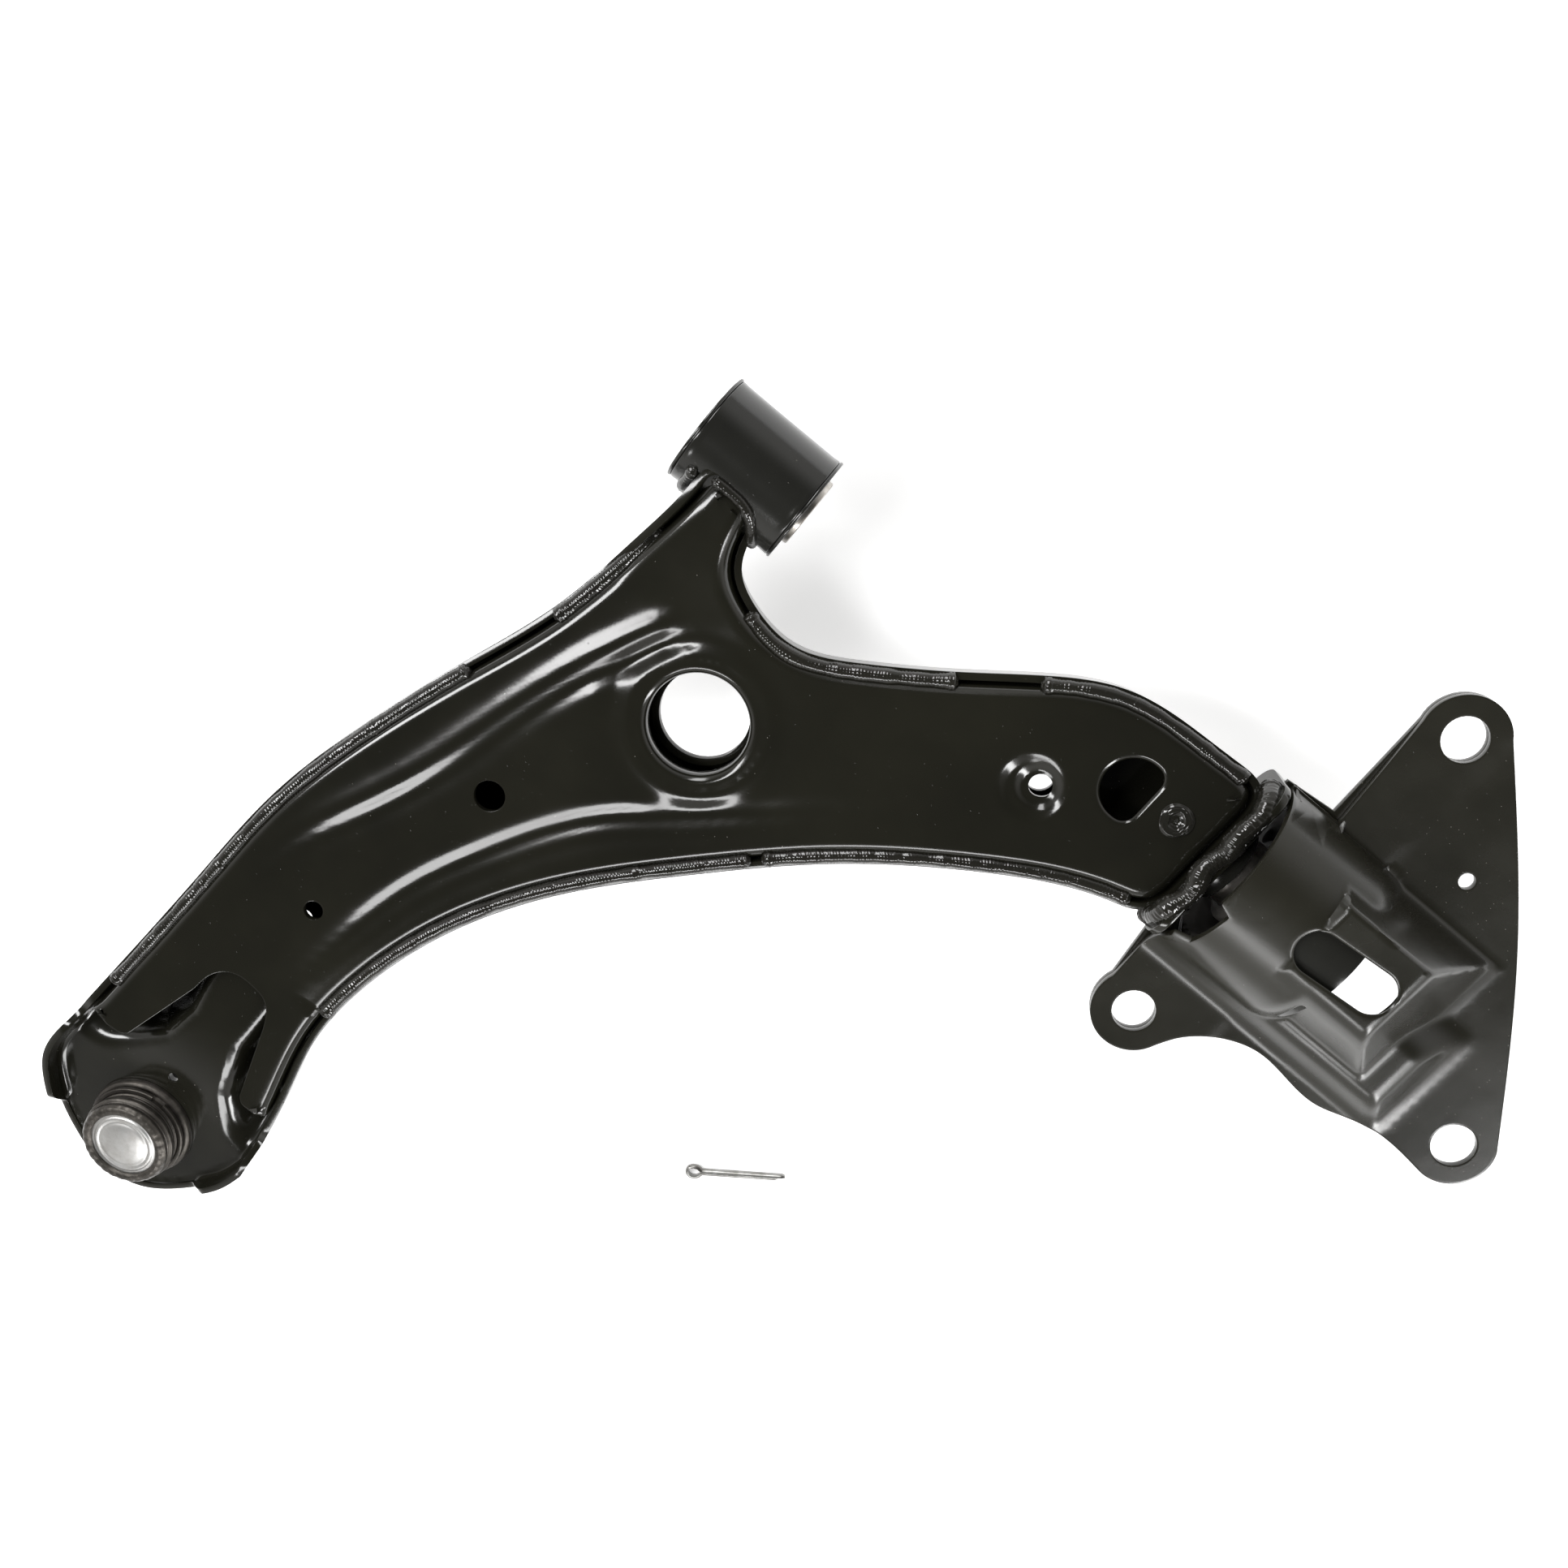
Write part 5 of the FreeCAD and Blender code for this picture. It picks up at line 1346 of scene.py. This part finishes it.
# ---- ball joint ----------------------------------------------------------------------------
# A turned, phosphated housing pressed up through the pad, its rim rolled over a bright zinc
# cap. An acetal seat wraps the ball and a snap ring holds the housing above the pad.
LEANED = Matrix.Translation(BALL) @ Matrix.Rotation(BALL_LEAN, 4, "X")
HOUSING_STEEL = turned_metal("housing_steel", (0.075, 0.068, 0.06), (0.03, 0.027, 0.023),
                             0.36, 0.6, 0.9, 0.7)
CAP_STEEL = turned_metal("cap_steel", (0.55, 0.55, 0.54), (0.4, 0.39, 0.375), 0.36, 0.12,
                         0.6, 0.9)
CLIP_STEEL = turned_metal("clip_steel", (0.5, 0.5, 0.49), (0.3, 0.29, 0.27), 0.3, 0.2)
ACETAL = moulded("seat_plastic", (0.72, 0.69, 0.6), (0.6, 0.57, 0.48), 0.45, 0.3)
RIM_TOP, RIM_R, MOUTH_R, SEAT_R = 14.5, 17.6, 13.4, 15.0
PAD_TOP, PRESS_R, FOOT, FOOT_R = -1.0, 18.6, -14.0, 15.6


def crimped(r, z, a):
    """Light flats left by the rolling tool on the rim."""
    rim = smooth(z, RIM_TOP - 3.2, RIM_TOP - 1.2) * smooth(r, MOUTH_R + 0.2, MOUTH_R + 1)
    dent = 0.16 * np.abs(np.sin(14 * a)) ** 6 + 0.08 * np.abs(np.sin(5 * a + 1)) ** 3
    return r - rim * dent * 0.6, z - rim * dent


housing_profile = finer(eased([
    (SEAT_R, FOOT + 2), (FOOT_R - 2.2, FOOT), (FOOT_R, FOOT), (FOOT_R, FOOT + 5),
    (PRESS_R, FOOT + 6), (PRESS_R, PAD_TOP), (21, PAD_TOP), (21, 0.5), (20.5, 1.6), (19.4, 2),
    (18.3, 2), (17.9, 2.6), (RIM_R, 3), (RIM_R, 5.0), (16.9, 5.3), (16.9, 5.9), (RIM_R, 6.2),
    (RIM_R, 7.0), (17.0, 7.25), (17.1, 7.75), (18.4, 8.0), (18.4, 9.7), (RIM_R, 10.2),
    (16.8, 10.5), (16.8, 11.2), (RIM_R, 11.6), (RIM_R, 12.9), (16.7, 14.1), (15.4, RIM_TOP),
    (14.2, RIM_TOP - 0.1), (MOUTH_R, RIM_TOP - 0.7), (MOUTH_R, RIM_TOP - 1.4),
    (SEAT_R, RIM_TOP - 1.4)], 0.35), 1.2)
housing = settle(lathe("ball_joint_cup", housing_profile, LEANED, 168, crimped),
                 HOUSING_STEEL, 60)
put(housing, "arm", "housing_steel", "ball_joint_housing")

cap_low = RIM_TOP - 1.4
cap_profile = finer(eased([
    (0, cap_low + 1.45), (3.2, cap_low + 1.4), (6.5, cap_low + 1.15), (8.8, cap_low + 0.75),
    (9.8, cap_low + 0.35), (10.4, cap_low + 0.3), (11.0, cap_low + 0.55),
    (11.8, cap_low + 0.45), (12.4, cap_low), (14.6, cap_low), (14.6, cap_low - 1.15),
    (11, cap_low - 1.15), (0, cap_low - 0.2)], 0.6), 1.0)
cap = settle(lathe("ball_joint_dome", cap_profile, LEANED, 96), CAP_STEEL, 60)
put(cap, "arm", "cap_steel", "ball_joint_cap")

snap_profile = eased([(RIM_R + 0.05, 3.05), (19.6, 3.05), (19.6, 4.75),
                      (RIM_R + 0.05, 4.75)], 0.5)
snap = settle(lathe("snap_ring", snap_profile, LEANED, 120, None, 98, 344),
              HOUSING_STEEL)
put(snap, "arm", "housing_steel", "ball_joint_snap_ring")

BALL_R = 12.0
dome = [((BALL_R + 0.05) * math.cos(t), (BALL_R + 0.05) * math.sin(t))
        for t in np.linspace(math.radians(68), math.radians(-30), 22)]
seat_profile = np.array([(dome[0][0], 11.85), (SEAT_R - 0.05, 11.85), (SEAT_R - 0.05, -11.0),
                         (14.6, -11.0), (12.3, -9.2)] + dome[::-1])
seat = settle(lathe("seat_cup", seat_profile, LEANED, 72), ACETAL)
put(seat, "arm", "seat_plastic", "ball_seat")

# ---- ball stud and castle nut --------------------------------------------------------------
# A forged stud with a ground ball and taper and a rolled M12 thread, and a slotted nut whose
# slots line up with the cotter hole.
PITCH = 1.25
THREAD_R, STUD_TIP, THREAD_TOP = 6.0, -57.0, -40.5
GROUND_STEEL = turned_metal("ground_steel", (0.56, 0.55, 0.53), (0.36, 0.34, 0.31), 0.24, 0.3)
ZINC = turned_metal("zinc_plate", (0.3, 0.3, 0.29), (0.17, 0.165, 0.155), 0.3, 0.25, 0.9)


def threaded(r, z, a):
    """A rolled thread, cut down from the full radius."""
    on = smooth(z, STUD_TIP + 0.6, STUD_TIP + 1.6) * (1 - smooth(z, THREAD_TOP - 1.5, THREAD_TOP))
    on = on * (r > THREAD_R - 0.3) * (r < THREAD_R + 0.2)
    phase = (z / PITCH + a / (2 * math.pi)) % 1.0
    return r - 0.62 * on * np.clip(1.25 - 2.5 * np.abs(phase - 0.5), 0, 1), z


ball_arc = [(BALL_R * math.cos(t), BALL_R * math.sin(t))
            for t in np.linspace(math.radians(64), math.radians(-53), 26)]
stud_outline = [(0, ball_arc[0][1])] + ball_arc + [
    (7.2, -16), (7.7, -24), (6.6, -40), (6.4, -40.2), (THREAD_R, THREAD_TOP),
    (THREAD_R, STUD_TIP + 1.5), (THREAD_R - 1.5, STUD_TIP), (0, STUD_TIP)]
stud_profile = finer(np.array(stud_outline), 0.21)
stud = lathe("ball_stud_forging", stud_profile, LEANED, 64, threaded)
hole_z = -50.75
hole_turn = LEANED @ Matrix.Translation((0, 0, hole_z)) @ Matrix.Rotation(math.pi / 2, 4, "X")
hole = lathe("cotter_hole", np.array([(0.0, -12.0), (1.7, -12.0), (1.7, 12.0), (0.0, 12.0)]),
             hole_turn, 40)
carve(stud, hole)
settle(stud, GROUND_STEEL, 30)
bpy.data.objects.remove(hole)
put(stud, "stud", "bare_steel", "ball_stud")

NUT_AF, NUT_TOP, NUT_LENGTH, NUT_CROWN, NUT_SLOT = 19.0, -41.0, 12.0, 4.5, 3.4
nut_low = NUT_TOP - NUT_LENGTH


def six_sided(r, z, a):
    """Flats, with their corners chamfered at the face that bears on the knuckle."""
    flat = NUT_AF / 2 / np.cos((a % (math.pi / 3)) - math.pi / 6)
    cone = NUT_AF / 2 - 0.1 + 1.7 * np.maximum(NUT_TOP - z, 0)
    low_cone = NUT_AF / 2 - 0.1 + 1.7 * np.maximum(z - nut_low - NUT_CROWN, 0)
    limit = np.minimum(flat, np.minimum(cone, low_cone))
    return np.where(r > 10.5, limit, r), z


nut_profile = finer(eased([(THREAD_R + 0.06, nut_low), (NUT_AF / 2 - 1, nut_low),
                           (NUT_AF / 2 - 1, nut_low + NUT_CROWN),
                           (11.2, nut_low + NUT_CROWN), (11.2, NUT_TOP),
                           (THREAD_R + 0.06, NUT_TOP)], 0.3), 0.8)
nut = lathe("slotted_nut", nut_profile, LEANED, 144, six_sided)
slots = []
for i in range(3):
    made = bpy.data.meshes.new("nut_slot")
    work = bmesh.new()
    bmesh.ops.create_cube(work, size=1)
    bmesh.ops.scale(work, verts=work.verts, vec=(NUT_SLOT * MM, 30 * MM, NUT_CROWN * MM))
    place = LEANED @ Matrix.Rotation(math.radians(60 * i), 4, "Z")
    place = place @ Matrix.Translation((0, 0, nut_low + NUT_CROWN / 2 - 1.0))
    place.translation = place.translation * MM
    bmesh.ops.transform(work, matrix=place, verts=work.verts)
    work.to_mesh(made)
    work.free()
    slots.append(piece("nut_slot", made))
    carve(nut, slots[-1])
ease(nut, 0.25, 40, 1)
settle(nut, ZINC, 30)
for slot_box in slots:
    bpy.data.objects.remove(slot_box)
put(nut, "stud", "zinc_plate", "castle_nut")

# ---- dust boot -----------------------------------------------------------------------------
# A moulded rubber bellows between the housing's foot and the stud's taper, clamped by a wire
# ring at each end. It is shown in two lengths.
BOOT_RUBBER = moulded("boot_rubber", (0.014, 0.014, 0.015), (0.035, 0.034, 0.032), 0.42, 0.5)
boot_high, boot_low, boot_middle = FOOT + 4.6, -25.5, -17.4
outside = through([(17.2, boot_high - 2.2), (18.9, -13.2), (20.5, -16.4), (19.6, boot_middle),
                   (18.6, -18.4), (17.9, -19.4), (16.6, -20.6), (14.6, -21.6),
                   (11.4, -22.4), (10.4, -23.4)], 0.5)
inside_line = through([(15.72, boot_high - 3.0), (17.2, -13.6), (18.7, -16.3),
                       (18.0, boot_middle), (16.9, -18.6), (16.0, -19.6), (14.6, -20.5),
                       (12.4, -21.6), (9.6, -22.6), (8.05, -23.4)], 0.5)


def boot_length(name, low, high, ends):
    """One closed length of the boot's wall between two heights."""
    out = [p for p in outside if low <= p[1] <= high]
    back = [p for p in inside_line if low <= p[1] <= high][::-1]
    profile = np.array(ends[0] + out + ends[1] + back)
    return settle(lathe(name, profile, LEANED, 120), BOOT_RUBBER, 60)


rim = [(15.72, boot_high), (16.9, boot_high), (17.2, boot_high - 0.3), (17.15, boot_high - 1.1)]
foot = [(10.4, boot_low + 0.3), (10.1, boot_low), (8.05, boot_low)]
upper_boot = boot_length("dust_boot_upper", boot_middle, 0, (rim, [(18.05, boot_middle)]))
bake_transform(upper_boot)
lower_boot = boot_length("dust_boot_lower", -30, boot_middle, ([(18.05, boot_middle)], foot))
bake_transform(lower_boot)
for thing in (upper_boot, lower_boot):
    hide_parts("dust_boot")


def wire_ring(name, radius, thick, height):
    """A clamp ring of round spring wire."""
    t = np.linspace(0, 2 * math.pi, 14, endpoint=False)
    profile = np.column_stack([radius + thick + thick * np.cos(t), height + thick * np.sin(t)])
    return settle(lathe(name, profile, LEANED, 96), CLIP_STEEL)


top_clip = wire_ring("boot_top_clip", 17.3, 0.8, boot_high - 1.1)
put(top_clip, "arm", "clip_steel", "boot_housing_clip")
low_clip = wire_ring("boot_low_clip", 10.5, 0.7, boot_low + 1.1)
put(low_clip, "boot_end", "clip_steel", "boot_stud_clip")

# ---- cotter pin ----------------------------------------------------------------------------
# A zinc-plated split pin for the stud, loose beside the arm: one length of half-round wire
# folded back on itself round an open eye, one leg longer than the other.
WIRE_R = 1.48
LONG_LEG, SHORT_LEG = 39.2, 36.2
pin_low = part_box("cotter_pin")[0].z / MM
fold = np.array([(LONG_LEG, 0.05), (20, 0.05), (4.6, 0.05), (3.6, 0.15), (2.9, 0.6),
                 (2.2, 1.3), (1.2, 1.75), (0, 1.85), (-1.2, 1.4), (-1.8, 0.4), (-1.85, 0)])
fold = np.concatenate([through(fold, 0.4), (through(fold, 0.4) * (1, -1))[::-1][1:]])
fold = fold[~((fold[:, 1] < 0) & (fold[:, 0] > SHORT_LEG))]
ahead = np.gradient(fold, axis=0)
ahead /= np.linalg.norm(ahead, axis=1)[:, None]
outward = np.column_stack([ahead[:, 1], -ahead[:, 0]])
outward *= np.sign(outward[0, 1])
arc = np.linspace(-math.pi / 2, math.pi / 2, 11)
verts, faces = [], []
for i, (point, out) in enumerate(zip(fold, outward)):
    nose = min(i, len(fold) - 1 - i)
    size = WIRE_R * (0.55 + 0.45 * min(1.0, nose / 4) ** 0.5)
    for t in arc:
        flat = point + out * size * math.cos(t)
        verts.append((*flat, size * math.sin(t)))
ring = len(arc)
for i in range(len(fold) - 1):
    for k in range(ring):
        a, b = i * ring + k, i * ring + (k + 1) % ring
        faces.append((a, b, b + ring, a + ring))
faces.append(tuple(range(ring)))
faces.append(tuple(range((len(fold) - 1) * ring, len(fold) * ring)))
pin_mesh = to_millimetre_mesh("split_pin", np.array(verts), faces)
along = pin_mesh.attributes.new("along", "FLOAT", "POINT")
along.data.foreach_set("value", (np.repeat(np.arange(len(fold)), ring) * 0.0004).astype("f"))
work = bmesh.new()
work.from_mesh(pin_mesh)
bmesh.ops.recalc_face_normals(work, faces=work.faces)
work.to_mesh(pin_mesh)
work.free()
lying = Matrix.Translation((0.161, -0.253, (pin_low + WIRE_R) * MM))
pin_mesh.transform(lying @ Matrix.Rotation(math.radians(38), 4, "Z"))
split_pin = piece("split_pin", pin_mesh)
ease(split_pin, 0.12, 50)
settle(split_pin, ZINC, 50)
put(split_pin, "loose_pin", "zinc_plate", "cotter_pin")

# ---- stage ---------------------------------------------------------------------------------
# A pale, faintly glowing floor under a tent of soft light with a darker roof. Four softboxes
# give the coat its long reflections, and the camera looks down from above the arm.
floor_z = cad_box[0][2]
floor_mesh = bpy.data.meshes.new("floor")
floor_mesh.from_pydata([(-6, -6, floor_z), (6, -6, floor_z), (6, 6, floor_z), (-6, 6, floor_z)],
                       [], [(0, 1, 2, 3)])
floor = piece("floor", floor_mesh)
pale = bpy.data.materials.new("pale_floor")
pale.use_nodes = True
for label, value in (("Base Color", (0.9, 0.9, 0.9, 1)), ("Roughness", 0.9),
                     ("Emission Color", (1, 1, 1, 1)), ("Emission Strength", 0.45)):
    pale.node_tree.nodes["Principled BSDF"].inputs[label].default_value = value
floor_mesh.materials.append(pale)

world = bpy.data.worlds.new("tent")
bpy.context.scene.world = world
world.use_nodes = True
sky = world.node_tree
aim = wire(sky, "ShaderNodeTexCoord").outputs["Generated"]
part = wire(sky, "ShaderNodeSeparateXYZ", {"Vector": aim})
ramp = wire(sky, "ShaderNodeMapRange", {"Value": part.outputs["Z"], "From Min": 0.84,
                                        "From Max": 0.3, "To Min": 0.03, "To Max": 0.8},
            interpolation_type="SMOOTHSTEP")
sky.links.new(ramp.outputs[0], sky.nodes["Background"].inputs["Strength"])
sky.nodes["Background"].inputs["Color"].default_value = (1, 0.985, 0.96, 1)


def softbox(name, place, target, size, power):
    """An oblong lamp aimed at a target."""
    light = bpy.data.lights.new(name, "AREA")
    light.shape = "RECTANGLE"
    light.size, light.size_y = size
    light.energy = power
    thing = bpy.data.objects.new(name, light)
    bpy.context.scene.collection.objects.link(thing)
    thing.location = place
    thing.rotation_euler = (Vector(target) - Vector(place)).to_track_quat("-Z", "Y").to_euler()


softbox("left_light", (-1.0, -0.45, 1.5), (0, -0.15, 0), (0.3, 1.3), 24)
softbox("high_light", (-1.15, 0.9, 1.1), (0.1, -0.1, 0), (0.5, 1.2), 20)
softbox("front_light", (0.62, -1.3, 1.2), (0.05, -0.15, 0), (1.1, 0.3), 13)
softbox("right_light", (1.75, -0.5, 1.0), (0.2, -0.05, 0), (0.3, 1.2), 24)

CAMERA_PLACE = (0.02234, 0.07872, 0.555)
CAMERA_RIGHT = (0.77218, 0.62710, -0.10242)
CAMERA_DOWN = (0.62824, -0.72934, 0.27087)
CAMERA_AHEAD = (0.09517, -0.27350, -0.95716)
lens = bpy.data.cameras.new("camera")
lens.sensor_width = 36.0
lens.lens = 37.27
lens.clip_start = 0.01
camera = bpy.data.objects.new("camera", lens)
bpy.context.scene.collection.objects.link(camera)
turn = Matrix((CAMERA_RIGHT, [-v for v in CAMERA_DOWN], [-v for v in CAMERA_AHEAD])).transposed()
camera.matrix_world = Matrix.Translation(CAMERA_PLACE) @ turn.to_4x4()
bpy.context.scene.camera = camera
bpy.context.scene.view_settings.view_transform = "Standard"
